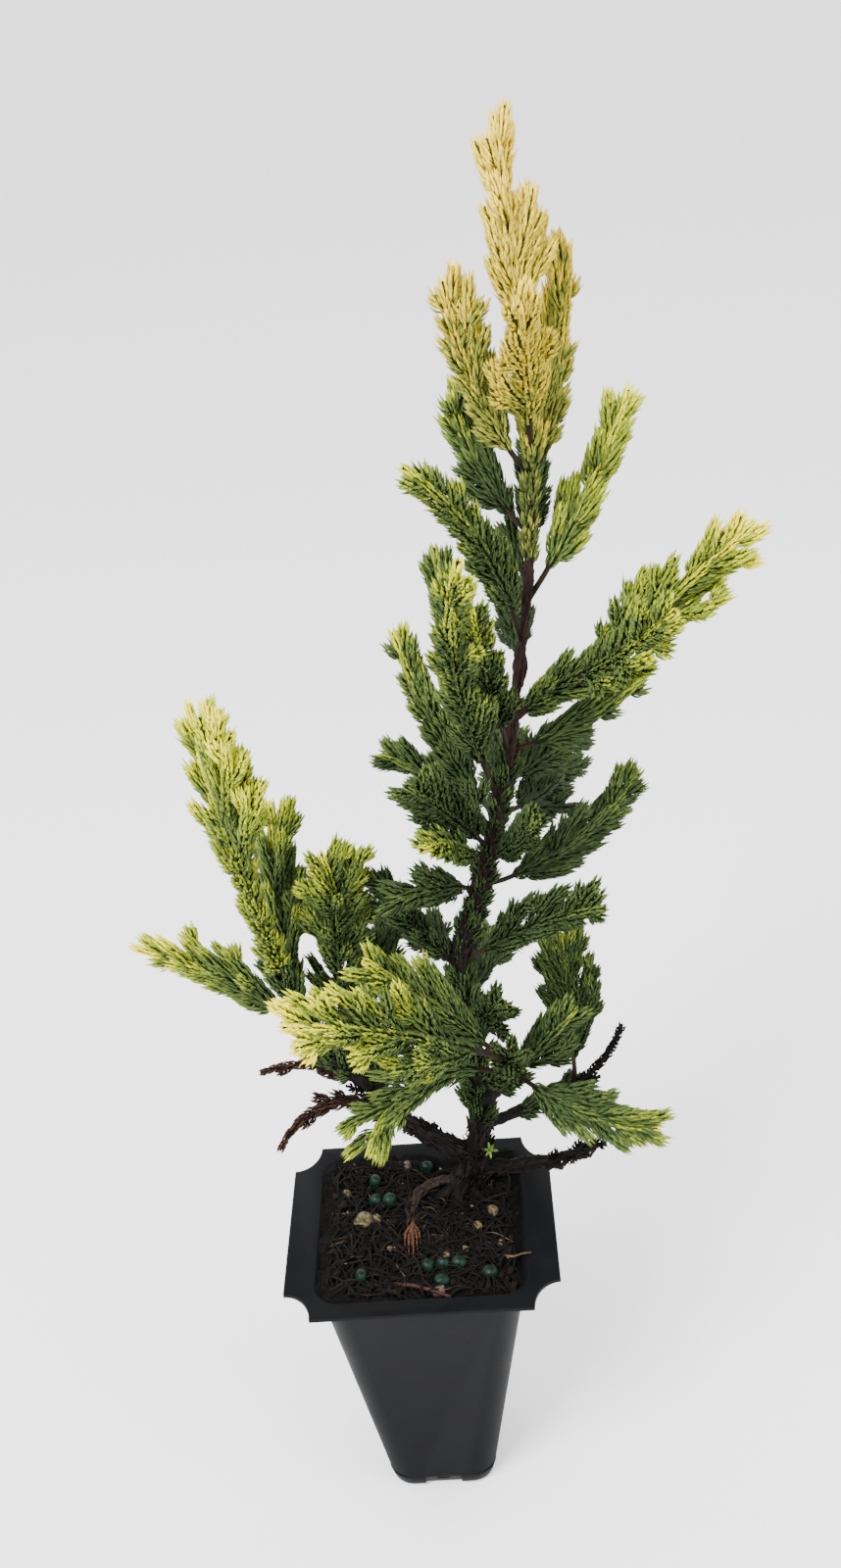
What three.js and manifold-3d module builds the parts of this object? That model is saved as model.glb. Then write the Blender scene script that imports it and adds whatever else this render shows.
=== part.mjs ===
// A young lime glow juniper in the square nursery pot that it was sold in.
// Millimetres, +Z up. The origin is the centre of the pot's flat underside, and -Y is the front.
import * as THREE from "three";
import { mergeVertices } from "three/addons/utils/BufferGeometryUtils.js";
import Module from "manifold-3d";

const wasm = await Module();
wasm.setup();

// Clear space between neighbouring pieces
const GAP = 0.3;
const DEGREE = Math.PI / 180;
const UP = new THREE.Vector3(0, 0, 1);

// Thin-walled pot: outside and inside widths at the heights where the wall changes slope
const POT = {
  rimTop: 83.3,
  rimThickness: 1.1,
  rimWide: 70,
  rimDeep: 64,
  notchWide: 7,
  notchDeep: 9,
  corner: 6,
  footHeight: 4.4,
  lobeHeight: 1.2,
  lobeJoin: 0.2,
  toeWide: 28.4,
  ankleWide: 29.9,
  archWide: 10,
  slotWide: 3.4,
  slotHigh: 0.8,
  slotDeep: 5,
};
const POT_OUTSIDE = [
  { z: 0, width: 23.6 },
  { z: 0.9, width: 26.6 },
  { z: POT.footHeight, width: 29.8 },
  { z: 79, width: 51.9 },
  { z: 81.4, width: 53.4 },
  { z: 82.7, width: 57 },
];
const POT_INSIDE = [
  { z: 1.4, width: 21 },
  { z: 5.2, width: 28 },
  { z: 79, width: 50.1 },
  { z: 81.6, width: 51.8 },
  { z: 83.6, width: 55 },
];

// Potting mix: low along the front wall, up to the rim at the back and left. It climbs over the
// stretches given for back and left, has lumps of a set height and waves, and is level for the
// trunk as far as the footing, beyond which the blend leads to the open surface
const SOIL = {
  shoulder: 76,
  front: 79.2,
  back: 82.8,
  climbBack: { from: -18, to: 24 },
  climbLeft: { from: -6, to: 24, share: 0.8 },
  lump: 0.35,
  waveX: 0.61,
  waveY: 0.53,
  rings: 5,
  footing: 9,
  blend: 7,
};

// Trunk: places of its bends from the flat cut on the soil to its tip, with the radius there
const TRUNK = [
  { z: 80.3, x: 10.6, y: 14.5, radius: 3.7 },
  { z: 86, x: 12.8, y: 13.8, radius: 3.2 },
  { z: 95, x: 15.9, y: 13, radius: 2.9 },
  { z: 108, x: 17.6, y: 12, radius: 2.8 },
  { z: 138, x: 16.2, y: 11, radius: 2.6 },
  { z: 156, x: 14.7, y: 13, radius: 2.5 },
  { z: 173, x: 20.7, y: 14, radius: 2.4 },
  { z: 191, x: 25.6, y: 14, radius: 2.1 },
  { z: 209, x: 30.1, y: 15, radius: 1.7 },
  { z: 253, x: 37, y: 14, radius: 1.15 },
  { z: 287, x: 39.3, y: 14, radius: 0.95 },
  { z: 303, x: 38.8, y: 13.5, radius: 0.85 },
];
const TRUNK_SIDES = 12;
const ROOT_FLARE = { height: 9, spread: 0.75, lobes: 5, hollow: 0.4 };

// Habit of the plant, the same in every spray
const ARC_STEPS = 8;
const BOUGH_SIDES = 6;
// Share of a spray's stem with no shoots, and the share where the last pair stands
const BARE = 0.16;
const LAST = 0.9;
// One side shoot for each such stretch of stem, and no fewer than three
const SPACING = 6;
const FEWEST = 3;
// Side shoots stand this far out of the flat of the fan, in degrees
const SCATTER = 26;
// Angle between a side shoot and its stem, and how far a fan may turn from facing the light
const FORK = 26;
const FAN_TURN = 25;
const SHOOT_STEPS = 4;
// Forks and lengths differ by this share either way. Shoots grow shorter along their stem by the
// share of taper, and none ends more than the overshoot beyond the stem's tip
const VARY = 0.2;
const TAPER = 0.6;
const OVERSHOOT = 3;
// How far each step of a shoot bends along its stem and upwards
const FOLLOW = 0.12;
const RISE = 0.05;
const SHORTEST = 5;
// Radius of a shoot over its needles and of a bare stem, and the spacing of the beads that test them
const PLUME = 2.2;
const STEM = 0.8;
const BEAD = 2;
const ROOM = 0.35;
// First stretch of a stem and of a side shoot that is not tested, since it stands on its host,
// and how far beyond its bare share a stem is still tested as bare
const STEM_SKIP = 3.6;
const ROOT_SKIP = 1.5;
const BARE_MARGIN = 2;
// Shoots of one spray may part slowly from their stem and stand a little closer together
const NEST = { skip: 5, radius: 1.9 };
// Needle whorls on a shoot: length of each, the share of it where its needles end, radius of
// the core and over the needles at the root and the tip, and radius of a bare twig's end
const WHORL = 9;
const WHORL_END = 0.78;
const CORE = { root: 1.15, tip: 0.85 };
const WHORL_REACH = { root: 2.35, tip: 2.1 };
const SLIM = 0.65;
// Facets smaller than this are smoothed out where shoots join their stem
const FINEST = 0.08;
// Share of a spray's stem below its own tuft of needles, and the spacing of its rings there
const STEM_BARE = 0.66;
const BARE_STEP = 0.33;

// The same numbers from the same seed, between 0 and 1
function seeded(seed) {
  let state = (seed * 7919 + 17) % 2147483647;
  return () => {
    state = (state * 16807) % 2147483647;
    return state / 2147483647;
  };
}

const mix = (a, b, t) => a + (b - a) * t;
const vary = (chance) => mix(1 - VARY, 1 + VARY, chance);

function direction(heading, rise) {
  const level = Math.cos(rise * DEGREE);
  return new THREE.Vector3(
    level * Math.cos(heading * DEGREE),
    level * Math.sin(heading * DEGREE),
    Math.sin(rise * DEGREE),
  );
}

// Where most light comes from: the front and above
const LIGHT = direction(270, 35);

// Line of a limb that leaves its start on a heading and a rise and turns evenly along its length
function arc(start, { heading, rise, lift, sweep, length }) {
  const points = [start.clone()];
  for (let k = 0; k < ARC_STEPS; k += 1) {
    const t = (k + 0.5) / ARC_STEPS;
    const step = direction(heading + sweep * t, rise + lift * t);
    points.push(points[k].clone().addScaledVector(step, length / ARC_STEPS));
  }
  return points;
}

// Place on a line of points at a share of its length, with the direction there
function along(points, share) {
  const place = share * (points.length - 1);
  const k = Math.min(Math.floor(place), points.length - 2);
  const span = points[k + 1].clone().sub(points[k]);
  return { point: points[k].clone().addScaledVector(span, place - k), tangent: span.normalize() };
}

// Directions across a fan and out of its flat, which faces the light but for a turn of its own
function fanAxes(tangent, turn) {
  const facing = LIGHT.clone().addScaledVector(tangent, -LIGHT.dot(tangent)).normalize();
  const across = new THREE.Vector3().crossVectors(tangent, facing);
  const c = Math.cos(turn);
  const s = Math.sin(turn);
  return {
    across: across.clone().multiplyScalar(c).addScaledVector(facing, s),
    out: facing.clone().multiplyScalar(c).addScaledVector(across, -s),
  };
}

// Side shoots of a spray, to the right and left in turn. The spray's number in its list seeds
// the turn of its fan and how its shoots differ
function growSpray(spray, number, stem) {
  const rand = seeded(number + 1);
  const turn = FAN_TURN * DEGREE * (2 * rand() - 1);
  const first = number % 2 === 0 ? 1 : -1;
  const low = spray.low ?? BARE;
  const shoots = Math.max(FEWEST, Math.round(spray.length / SPACING));
  const lines = [];
  for (let k = 0; k < shoots; k += 1) {
    const t = mix(low, LAST, (k + 0.5) / shoots);
    const side = k % 2 === 0 ? first : -first;
    const fork = FORK * DEGREE * vary(rand());
    const tilt = SCATTER * DEGREE * (2 * rand() - 1);
    const longest = spray.length * (side > 0 ? spray.right : spray.left);
    const size = longest * (1 - TAPER * t) * vary(rand());
    const reach = Math.min(size, (1 - t) * spray.length + OVERSHOOT);
    if (reach < SHORTEST) continue;
    const { point, tangent } = along(stem, t);
    const { across, out } = fanAxes(tangent, turn);
    const heading = tangent.clone().multiplyScalar(Math.cos(fork));
    heading.addScaledVector(across, Math.sin(fork) * Math.cos(tilt) * side);
    heading.addScaledVector(out, Math.sin(fork) * Math.sin(tilt));
    const line = [point];
    for (let j = 0; j < SHOOT_STEPS; j += 1) {
      line.push(line[j].clone().addScaledVector(heading, reach / SHOOT_STEPS));
      heading.addScaledVector(tangent, FOLLOW).addScaledVector(UP, RISE).normalize();
    }
    lines.push(line);
  }
  return lines;
}

// Beads along a line, each with the radius that it keeps clear; the first stretch has none
function beadsOf(points, skip, radiusAt) {
  const beads = [];
  let walked = 0;
  points.slice(1).forEach((end, k) => {
    const start = points[k];
    const span = start.distanceTo(end);
    const count = Math.max(1, Math.round(span / BEAD));
    for (let i = 0; i < count; i += 1) {
      const share = (i + 0.5) / count;
      const place = start.clone().lerp(end, share);
      if (walked + span * share >= skip) beads.push({ place, radius: radiusAt(place) });
    }
    walked += span;
  });
  const tip = points[points.length - 1];
  beads.push({ place: tip, radius: radiusAt(tip) });
  return beads;
}

function clearOf(beads, taken) {
  return beads.every((a) =>
    taken.every((b) => a.place.distanceTo(b.place) >= a.radius + b.radius + ROOM),
  );
}

// Closed skin over rings of points that have the same count
function skin(rings, tip = null) {
  const count = rings[0].length;
  const points = rings.flat();
  const faces = [];
  const cap = (ring, facingBack) => {
    for (let j = 1; j < count - 1; j += 1) {
      faces.push(facingBack ? [ring, ring + j + 1, ring + j] : [ring, ring + j, ring + j + 1]);
    }
  };
  cap(0, true);
  for (let k = 0; k < rings.length - 1; k += 1) {
    for (let j = 0; j < count; j += 1) {
      const a = k * count + j;
      const b = k * count + ((j + 1) % count);
      faces.push([a, b, b + count], [a, b + count, a + count]);
    }
  }
  const last = (rings.length - 1) * count;
  if (tip) {
    points.push(tip);
    for (let j = 0; j < count; j += 1) {
      faces.push([last + j, last + ((j + 1) % count), points.length - 1]);
    }
  } else {
    cap(last, false);
  }
  const geometry = new THREE.BufferGeometry().setFromPoints(points);
  geometry.setIndex(faces.flat());
  return geometry;
}

// Rings round a line of points: radiusAt(k, angle) gives each ring its outline, twistAt(k) turns it
function ringsAround(points, sides, radiusAt, twistAt = () => 0, first = null) {
  let across = null;
  return points.map((point, k) => {
    const before = points[Math.max(0, k - 1)];
    const after = points[Math.min(points.length - 1, k + 1)];
    const tangent = k === 0 && first ? first : after.clone().sub(before).normalize();
    const guide = across ?? (Math.abs(tangent.x) < 0.9 ? new THREE.Vector3(1, 0, 0) : UP);
    across = guide.clone().addScaledVector(tangent, -guide.dot(tangent)).normalize();
    const out = new THREE.Vector3().crossVectors(tangent, across);
    return Array.from({ length: sides }, (_, j) => {
      const angle = (j / sides) * 2 * Math.PI + twistAt(k);
      const radius = radiusAt(k, angle);
      const place = point.clone().addScaledVector(across, Math.cos(angle) * radius);
      return place.addScaledVector(out, Math.sin(angle) * radius);
    });
  });
}

function solidOf(geometry) {
  const bare = geometry.clone();
  bare.deleteAttribute("normal");
  bare.deleteAttribute("uv");
  const merged = mergeVertices(bare, 1e-4);
  const mesh = {
    numProp: 3,
    vertProperties: new Float32Array(merged.attributes.position.array),
    triVerts: new Uint32Array(merged.index.array),
  };
  return new wasm.Manifold(new wasm.Mesh(mesh));
}

function geometryOf(solid) {
  const { vertProperties, triVerts } = solid.getMesh();
  const geometry = new THREE.BufferGeometry();
  geometry.setAttribute("position", new THREE.BufferAttribute(vertProperties, 3));
  geometry.setIndex(new THREE.BufferAttribute(triVerts, 1));
  const flat = geometry.toNonIndexed();
  flat.computeVertexNormals();
  return flat;
}

// The largest piece of a solid, without the scraps that a cut leaves
function largestOf(solid) {
  return solid.decompose().reduce((best, piece) => (piece.volume() > best.volume() ? piece : best));
}

function piece(name, geometry, color, roughness) {
  const material = new THREE.MeshStandardMaterial({ color, roughness, metalness: 0 });
  const mesh = new THREE.Mesh(geometry, material);
  mesh.name = name;
  return mesh;
}

const plant = new THREE.Group();

// Pot: a tapering square wall with round corners, open at the top
const CORNER_STEPS = 3;
const NOTCH_STEPS = 6;
const EIGHTH = Math.PI / 4;

function roundedSquare(width, z, corner = POT.corner) {
  const middle = width / 2 - corner;
  const points = [];
  for (let quarter = 0; quarter < 4; quarter += 1) {
    const turn = (quarter * Math.PI) / 2;
    const centre = { x: Math.sign(Math.cos(turn + EIGHTH)), y: Math.sign(Math.sin(turn + EIGHTH)) };
    for (let k = 0; k <= CORNER_STEPS; k += 1) {
      const angle = turn + (k / CORNER_STEPS) * (Math.PI / 2);
      const x = centre.x * middle + corner * Math.cos(angle);
      const y = centre.y * middle + corner * Math.sin(angle);
      points.push(new THREE.Vector3(x, y, z));
    }
  }
  return points;
}

const squareLoft = (sections) => skin(sections.map(({ z, width }) => roundedSquare(width, z)));

function box(wide, deep, high, x, y, z) {
  return new THREE.BoxGeometry(wide, deep, high).translate(x, y, z);
}

// Flat rim with a quarter of an ellipse bitten out of each corner
function rimPlate() {
  const halfWide = POT.rimWide / 2;
  const halfDeep = POT.rimDeep / 2;
  const outline = [];
  for (const [sx, sy] of [[1, -1], [1, 1], [-1, 1], [-1, -1]]) {
    const start = sx * sy < 0 ? 0 : Math.PI / 2;
    for (let k = 0; k <= NOTCH_STEPS; k += 1) {
      const angle = Math.abs(start - (k / NOTCH_STEPS) * (Math.PI / 2));
      const x = sx * (halfWide - POT.notchWide * Math.cos(angle));
      const y = sy * (halfDeep - POT.notchDeep * Math.sin(angle));
      outline.push(new THREE.Vector2(x, y));
    }
  }
  const shape = new THREE.Shape(outline);
  const plate = new THREE.ExtrudeGeometry(shape, { depth: POT.rimThickness, bevelEnabled: false });
  return plate.translate(0, 0, POT.rimTop - POT.rimThickness);
}

// Four foot lobes hang below the wall's lower edge, with an arch between each pair
function footLobes() {
  const toe = { z: POT.lobeHeight, width: POT.toeWide };
  const ankle = { z: POT.footHeight + POT.lobeJoin, width: POT.ankleWide };
  const arch = box(POT.archWide, POT.rimWide, 2 * POT.footHeight, 0, 0, POT.footHeight / 2);
  const archAcross = box(POT.rimWide, POT.archWide, 2 * POT.footHeight, 0, 0, POT.footHeight / 2);
  const ring = solidOf(squareLoft([toe, ankle]));
  return ring.subtract(solidOf(arch)).subtract(solidOf(archAcross));
}

function pot() {
  let body = solidOf(squareLoft(POT_OUTSIDE)).add(solidOf(rimPlate())).add(footLobes());
  body = body.subtract(solidOf(squareLoft(POT_INSIDE)));
  const slotZ = POT.footHeight - POT.slotHigh;
  const reach = POT.ankleWide / 2;
  for (const side of [-1, 1]) {
    const front = box(POT.slotWide, POT.slotDeep, POT.slotHigh, 0, side * reach, slotZ);
    const beside = box(POT.slotDeep, POT.slotWide, POT.slotHigh, side * reach, 0, slotZ);
    body = body.subtract(solidOf(front)).subtract(solidOf(beside));
  }
  return body;
}

// Top of the potting mix: it rises to the back and left, and is level under the trunk
function soilTop(x, y) {
  const { climbBack, climbLeft } = SOIL;
  const back = THREE.MathUtils.smoothstep(y, climbBack.from, climbBack.to);
  const left = climbLeft.share * THREE.MathUtils.smoothstep(-x, climbLeft.from, climbLeft.to);
  const lump = SOIL.lump * Math.sin(SOIL.waveX * x + 1) * Math.cos(SOIL.waveY * y);
  const open = mix(SOIL.front, SOIL.back, Math.max(back, left)) + lump;
  const reach = Math.hypot(x - TRUNK[0].x, y - TRUNK[0].y);
  const away = THREE.MathUtils.smoothstep(reach, SOIL.footing, SOIL.footing + SOIL.blend);
  return mix(TRUNK[0].z - GAP, open, away);
}

// Width of the hollow at a height, less the clear space to the wall
function soilWidth(z) {
  const k = POT_INSIDE.findIndex((section, i) => i > 0 && z <= section.z);
  const [low, high] = [POT_INSIDE[k - 1], POT_INSIDE[k]];
  return mix(low.width, high.width, (z - low.z) / (high.z - low.z)) - 2 * GAP;
}

function soil() {
  const heights = [POT_INSIDE[0].z + GAP, POT_INSIDE[1].z, SOIL.shoulder];
  const rings = heights.map((z) => roundedSquare(soilWidth(z), z));
  const edge = roundedSquare(soilWidth(SOIL.front - SOIL.lump), 0);
  for (let k = SOIL.rings; k >= 1; k -= 1) {
    const scale = k / SOIL.rings;
    rings.push(edge.map(({ x, y }) => {
      return new THREE.Vector3(x * scale, y * scale, soilTop(x * scale, y * scale));
    }));
  }
  return solidOf(skin(rings, new THREE.Vector3(0, 0, soilTop(0, 0))));
}

// Limbs: each is a line of points with a radius at every point
const limbs = {};
const taken = [];

// Lobes of the root flare die away above the soil
function trunkRadius(k, angle, swell = 0) {
  const { z, radius } = TRUNK[k];
  const low = Math.max(0, 1 - (z - TRUNK[0].z) / ROOT_FLARE.height);
  const crest = 1 - ROOT_FLARE.hollow * (1 - Math.cos(ROOT_FLARE.lobes * angle));
  return radius * (1 + ROOT_FLARE.spread * low * crest) + swell;
}

function limbSolid(limb, swell = 0) {
  const { points, radii, sides, radiusAt } = limb;
  const line = points.map((point) => point.clone());
  const last = along(points, 1);
  line[line.length - 1] = last.point.addScaledVector(last.tangent, swell);
  const outline = radiusAt ? (k, angle) => radiusAt(k, angle, swell) : (k) => radii[k] + swell;
  return solidOf(skin(ringsAround(line, sides, outline, undefined, limb.first)));
}

function takeLimb(name, limb, skip) {
  limbs[name] = limb;
  const radiusNear = (place) => {
    const nearest = limb.points.reduce((best, point, k) => {
      return point.distanceTo(place) < limb.points[best].distanceTo(place) ? k : best;
    }, 0);
    return limb.radii[nearest];
  };
  taken.push(...beadsOf(limb.points, skip, radiusNear));
}

takeLimb("trunk", {
  points: TRUNK.map(({ x, y, z }) => new THREE.Vector3(x, y, z)),
  radii: TRUNK.map(({ radius }) => radius),
  sides: TRUNK_SIDES,
  radiusAt: trunkRadius,
  first: UP,
}, 0);

const trunkRoom = limbSolid(limbs.trunk, GAP).translate([0, 0, -GAP]);
plant.add(piece("pot", geometryOf(pot()), "#2b2d31", 0.55));
plant.add(piece("soil", geometryOf(soil().subtract(trunkRoom)), "#241b14", 0.95));
plant.add(piece("trunk", geometryOf(limbSolid(limbs.trunk)), "#4a3a31", 0.9));

// Where a limb or a spray leaves its host: at a height on the trunk, or at a share of a bough
function rootOn(host, place) {
  const { points } = limbs[host];
  if (host !== "trunk") return along(points, place).point;
  const k = points.findIndex((point, i) => i > 0 && place <= point.z);
  const share = (place - points[k - 1].z) / (points[k].z - points[k - 1].z);
  return points[k - 1].clone().lerp(points[k], share);
}

// Main boughs. Heading 0 points to +X and turns towards +Y; rise is the angle above level;
// sweep and lift are how far heading and rise turn from root to tip, in degrees
const BOUGHS = [
  { name: "bough_left_low", host: "trunk", at: 94, heading: 195, rise: 35, lift: 25, sweep: 0,
    length: 40, root: 2.6, tip: 1.9 },
  { name: "bough_left_out", host: "bough_left_low", at: 1, heading: 185, rise: 50, lift: 30, sweep: 20,
    length: 41, root: 1.7, tip: 1.1 },
  { name: "bough_left_up", host: "bough_left_low", at: 0.8, heading: 125, rise: 65, lift: 10, sweep: 45,
    length: 34, root: 1.3, tip: 0.9 },
  { name: "bough_front", host: "trunk", at: 111, heading: 305, rise: 50, lift: -5, sweep: -45,
    length: 58, root: 1.6, tip: 1.1 },
  { name: "bough_right_back", host: "trunk", at: 104, heading: 20, rise: 5, lift: -15, sweep: 25,
    length: 32, root: 1.7, tip: 1.1 },
  { name: "bough_right_bare", host: "trunk", at: 89, heading: 0, rise: 0, lift: 50, sweep: -45,
    length: 42, root: 1.9, tip: 1.2 },
  { name: "bough_right_high", host: "trunk", at: 221, heading: 345, rise: 40, lift: -5, sweep: -10,
    length: 24, root: 1.1, tip: 0.8 },
  { name: "bough_left_mid", host: "trunk", at: 155, heading: 190, rise: 50, lift: 10, sweep: 35,
    length: 26, root: 1, tip: 0.7 },
];

for (const bough of BOUGHS) {
  const points = arc(rootOn(bough.host, bough.at), bough);
  const radii = points.map((_, k) => mix(bough.root, bough.tip, k / ARC_STEPS));
  takeLimb(bough.name, { points, radii, sides: BOUGH_SIDES }, 4);
  const whole = limbSolid(limbs[bough.name]).subtract(limbSolid(limbs[bough.host], GAP));
  plant.add(piece(bough.name, geometryOf(largestOf(whole)), "#43342b", 0.9));
}

// A twig with its needles: a slim three-sided core, bare at first, whose whorls then stand out
// and point forward. Each whorl is turned against the one before it, and the last ends in a point
function plume(points, bare) {
  const length = points.slice(1).reduce((sum, point, k) => sum + point.distanceTo(points[k]), 0);
  const clad = 1 - bare;
  const whorls = Math.max(1, Math.round((length * clad) / WHORL));
  const rings = [];
  for (let share = 0; share < bare; share += BARE_STEP) {
    rings.push({ share, radius: mix(STEM, SLIM, share), turn: 0 });
  }
  for (let k = 0; k < whorls; k += 1) {
    const share = bare + (clad * k) / whorls;
    const end = bare + (clad * (k + WHORL_END)) / whorls;
    const turn = (k % 2) * (Math.PI / 3);
    rings.push({ share, radius: share > 0 ? mix(CORE.root, CORE.tip, share) : SLIM, turn });
    rings.push({ share: end, radius: mix(WHORL_REACH.root, WHORL_REACH.tip, end), turn });
  }
  const line = rings.map(({ share }) => along(points, share).point);
  const outline = (k) => rings[k].radius;
  const turned = (k) => rings[k].turn;
  return solidOf(skin(ringsAround(line, 3, outline, turned), points[points.length - 1]));
}

const TINTS = {
  gold: "#cdb463",
  lime: "#aabb4c",
  green: "#56733a",
  dark: "#3a552d",
  brown: "#5d4738",
  black: "#2c2320",
};

// Sprays of foliage. Angles are as for the boughs, to the nearest 5 degrees. Left and right are
// the longest shoots on the two sides of the stem, as shares of it, seen along it from the front.
// Low is the share of the stem below its shoots, where it is more than the habit's
const SPRAYS = [
  { name: "leader_crown", host: "trunk", at: 303, heading: 200, rise: 85, lift: 0, sweep: 0,
    length: 49, left: 0.4, right: 0.4, tint: "gold" },
  { name: "leader_skirt", host: "trunk", at: 285, heading: 265, rise: 55, lift: -10, sweep: 0,
    length: 47, left: 0.4, right: 0.4, tint: "gold" },
  { name: "leader_left_gold", host: "trunk", at: 279, heading: 210, rise: 50, lift: 35, sweep: -5,
    length: 48, left: 0.2, right: 0.5, tint: "gold" },
  { name: "leader_left_green", host: "trunk", at: 266, heading: 170, rise: 45, lift: 35, sweep: -20,
    length: 35, left: 0.3, right: 0.5, tint: "green" },
  { name: "leader_right_gold", host: "trunk", at: 274, heading: 45, rise: 60, lift: 20, sweep: 15,
    length: 53, left: 0.5, right: 0.15, tint: "gold" },
  { name: "leader_back", host: "trunk", at: 259, heading: 80, rise: 40, lift: -5, sweep: 10,
    length: 38, left: 0.3, right: 0.3, tint: "dark" },
  { name: "spray_right_upper", host: "trunk", at: 250, heading: 20, rise: 50, lift: 15, sweep: 10,
    length: 51, left: 0.32, right: 0.25, tint: "lime" },
  { name: "spray_left_upper", host: "trunk", at: 240, heading: 250, rise: 65, lift: -25, sweep: -25,
    length: 67, left: 0.2, right: 0.22, tint: "green" },
  { name: "twig_left_upper", host: "trunk", at: 253, heading: 110, rise: 40, lift: 0, sweep: -25,
    length: 26, left: 0.3, right: 0.3, tint: "dark" },
  { name: "back_upper", host: "trunk", at: 232, heading: 85, rise: 20, lift: -5, sweep: 20,
    length: 46, left: 0.3, right: 0.3, tint: "dark" },
  { name: "spray_mid_left_front", host: "trunk", at: 212, heading: 255, rise: 60, lift: -15, sweep: 10,
    length: 67, left: 0.25, right: 0.25, tint: "green" },
  { name: "spray_mid_left_tall", host: "trunk", at: 199, heading: 240, rise: 65, lift: -20, sweep: 45,
    length: 100, left: 0.14, right: 0.22, tint: "green" },
  { name: "spray_mid_left_back", host: "trunk", at: 208, heading: 120, rise: 55, lift: 25, sweep: 25,
    length: 55, left: 0.3, right: 0.3, tint: "dark" },
  { name: "spray_mid_left_out", host: "trunk", at: 195, heading: 175, rise: 60, lift: 15, sweep: 10,
    length: 54, left: 0.2, right: 0.35, tint: "green" },
  { name: "spray_mid_left_low", host: "trunk", at: 192, heading: 155, rise: 50, lift: -30, sweep: 15,
    length: 33, left: 0.4, right: 0.4, tint: "green" },
  { name: "spray_mid_left_under", host: "trunk", at: 187, heading: 240, rise: 50, lift: -10, sweep: 0,
    length: 48, left: 0.35, right: 0.35, tint: "green" },
  { name: "twig_left_yellow", host: "trunk", at: 182, heading: 245, rise: 50, lift: -30, sweep: 5,
    length: 44, left: 0.3, right: 0.3, tint: "lime" },
  { name: "spray_right_high", host: "bough_right_high", at: 1, heading: 340, rise: 45, lift: 0,
    sweep: -15, length: 52, left: 0.35, right: 0.5, tint: "lime" },
  { name: "spray_right_under", host: "bough_right_high", at: 0.7, heading: 295, rise: 30, lift: 10,
    sweep: 0, length: 55, left: 0.3, right: 0.3, tint: "lime" },
  { name: "twig_right_brown", host: "bough_right_high", at: 0.35, heading: 55, rise: 25, lift: 0,
    sweep: 0, length: 15, left: 0.3, right: 0.3, tint: "brown" },
  { name: "spray_right_mid", host: "trunk", at: 213, heading: 10, rise: 5, lift: 30, sweep: 10,
    length: 36, left: 0.5, right: 0.2, tint: "green" },
  { name: "spray_right_inner", host: "trunk", at: 204, heading: 55, rise: -5, lift: 0, sweep: 0,
    length: 41, left: 0.4, right: 0.3, tint: "dark" },
  { name: "back_right", host: "trunk", at: 196, heading: 55, rise: -15, lift: 5, sweep: 30,
    length: 63, left: 0.3, right: 0.35, tint: "dark" },
  { name: "spray_right_fan", host: "trunk", at: 177, heading: 25, rise: -5, lift: 60, sweep: -10,
    length: 50, left: 0.35, right: 0.25, tint: "green" },
  { name: "twig_right_fan", host: "trunk", at: 183, heading: 310, rise: 40, lift: 5, sweep: -30,
    length: 38, left: 0.4, right: 0.3, tint: "green" },
  { name: "spray_right_low", host: "trunk", at: 155, heading: 340, rise: 40, lift: -10, sweep: -40,
    length: 56, left: 0.35, right: 0.2, tint: "green" },
  { name: "twig_left_mid", host: "trunk", at: 176, heading: 220, rise: 30, lift: -20, sweep: 5,
    length: 30, left: 0.4, right: 0.4, tint: "green" },
  { name: "spray_left_mid", host: "bough_left_mid", at: 1, heading: 205, rise: 65, lift: 0, sweep: 0,
    length: 14, left: 0.5, right: 0.5, tint: "green" },
  { name: "spray_left_hidden", host: "bough_left_up", at: 0.6, heading: 55, rise: 75, lift: -65,
    sweep: 20, length: 34, left: 0.4, right: 0.4, tint: "dark" },
  { name: "spray_left_tall", host: "bough_left_out", at: 1, heading: 245, rise: 70, lift: 15, sweep: -25,
    length: 85, left: 0.2, right: 0.5, low: 0.42, tint: "lime" },
  { name: "spray_left_inner", host: "bough_left_out", at: 0.8, heading: 110, rise: 45, lift: 50,
    sweep: -35, length: 53, left: 0.35, right: 0.5, tint: "green" },
  { name: "spray_left_far", host: "bough_left_out", at: 0.6, heading: 160, rise: 35, lift: -10,
    sweep: 25, length: 49, left: 0.25, right: 0.5, tint: "lime" },
  { name: "spray_left_upright", host: "bough_left_up", at: 1, heading: 295, rise: 80, lift: -20,
    sweep: -35, length: 54, left: 0.35, right: 0.45, tint: "green" },
  { name: "back_left", host: "trunk", at: 151, heading: 105, rise: 5, lift: -25, sweep: 30,
    length: 54, left: 0.35, right: 0.35, tint: "dark" },
  { name: "spray_front_left", host: "bough_front", at: 1, heading: 220, rise: 40, lift: -10, sweep: 5,
    length: 73, left: 0.35, right: 0.45, tint: "lime" },
  { name: "spray_front_high", host: "bough_front", at: 0.85, heading: 180, rise: 50, lift: 0, sweep: 60,
    length: 56, left: 0.4, right: 0.4, tint: "lime" },
  { name: "spray_front_down", host: "bough_front", at: 0.6, heading: 175, rise: 25, lift: -60, sweep: 75,
    length: 45, left: 0.3, right: 0.3, tint: "lime" },
  { name: "spray_front_right", host: "bough_front", at: 0.75, heading: 310, rise: -15, lift: 10,
    sweep: 45, length: 38, left: 0.5, right: 0.4, tint: "lime" },
  { name: "spray_front_up", host: "bough_front", at: 0.45, heading: 355, rise: 50, lift: 5, sweep: -20,
    length: 29, left: 0.6, right: 0.6, tint: "green" },
  { name: "spray_right_back", host: "bough_right_back", at: 1, heading: 100, rise: 80, lift: 0, sweep: 5,
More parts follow.
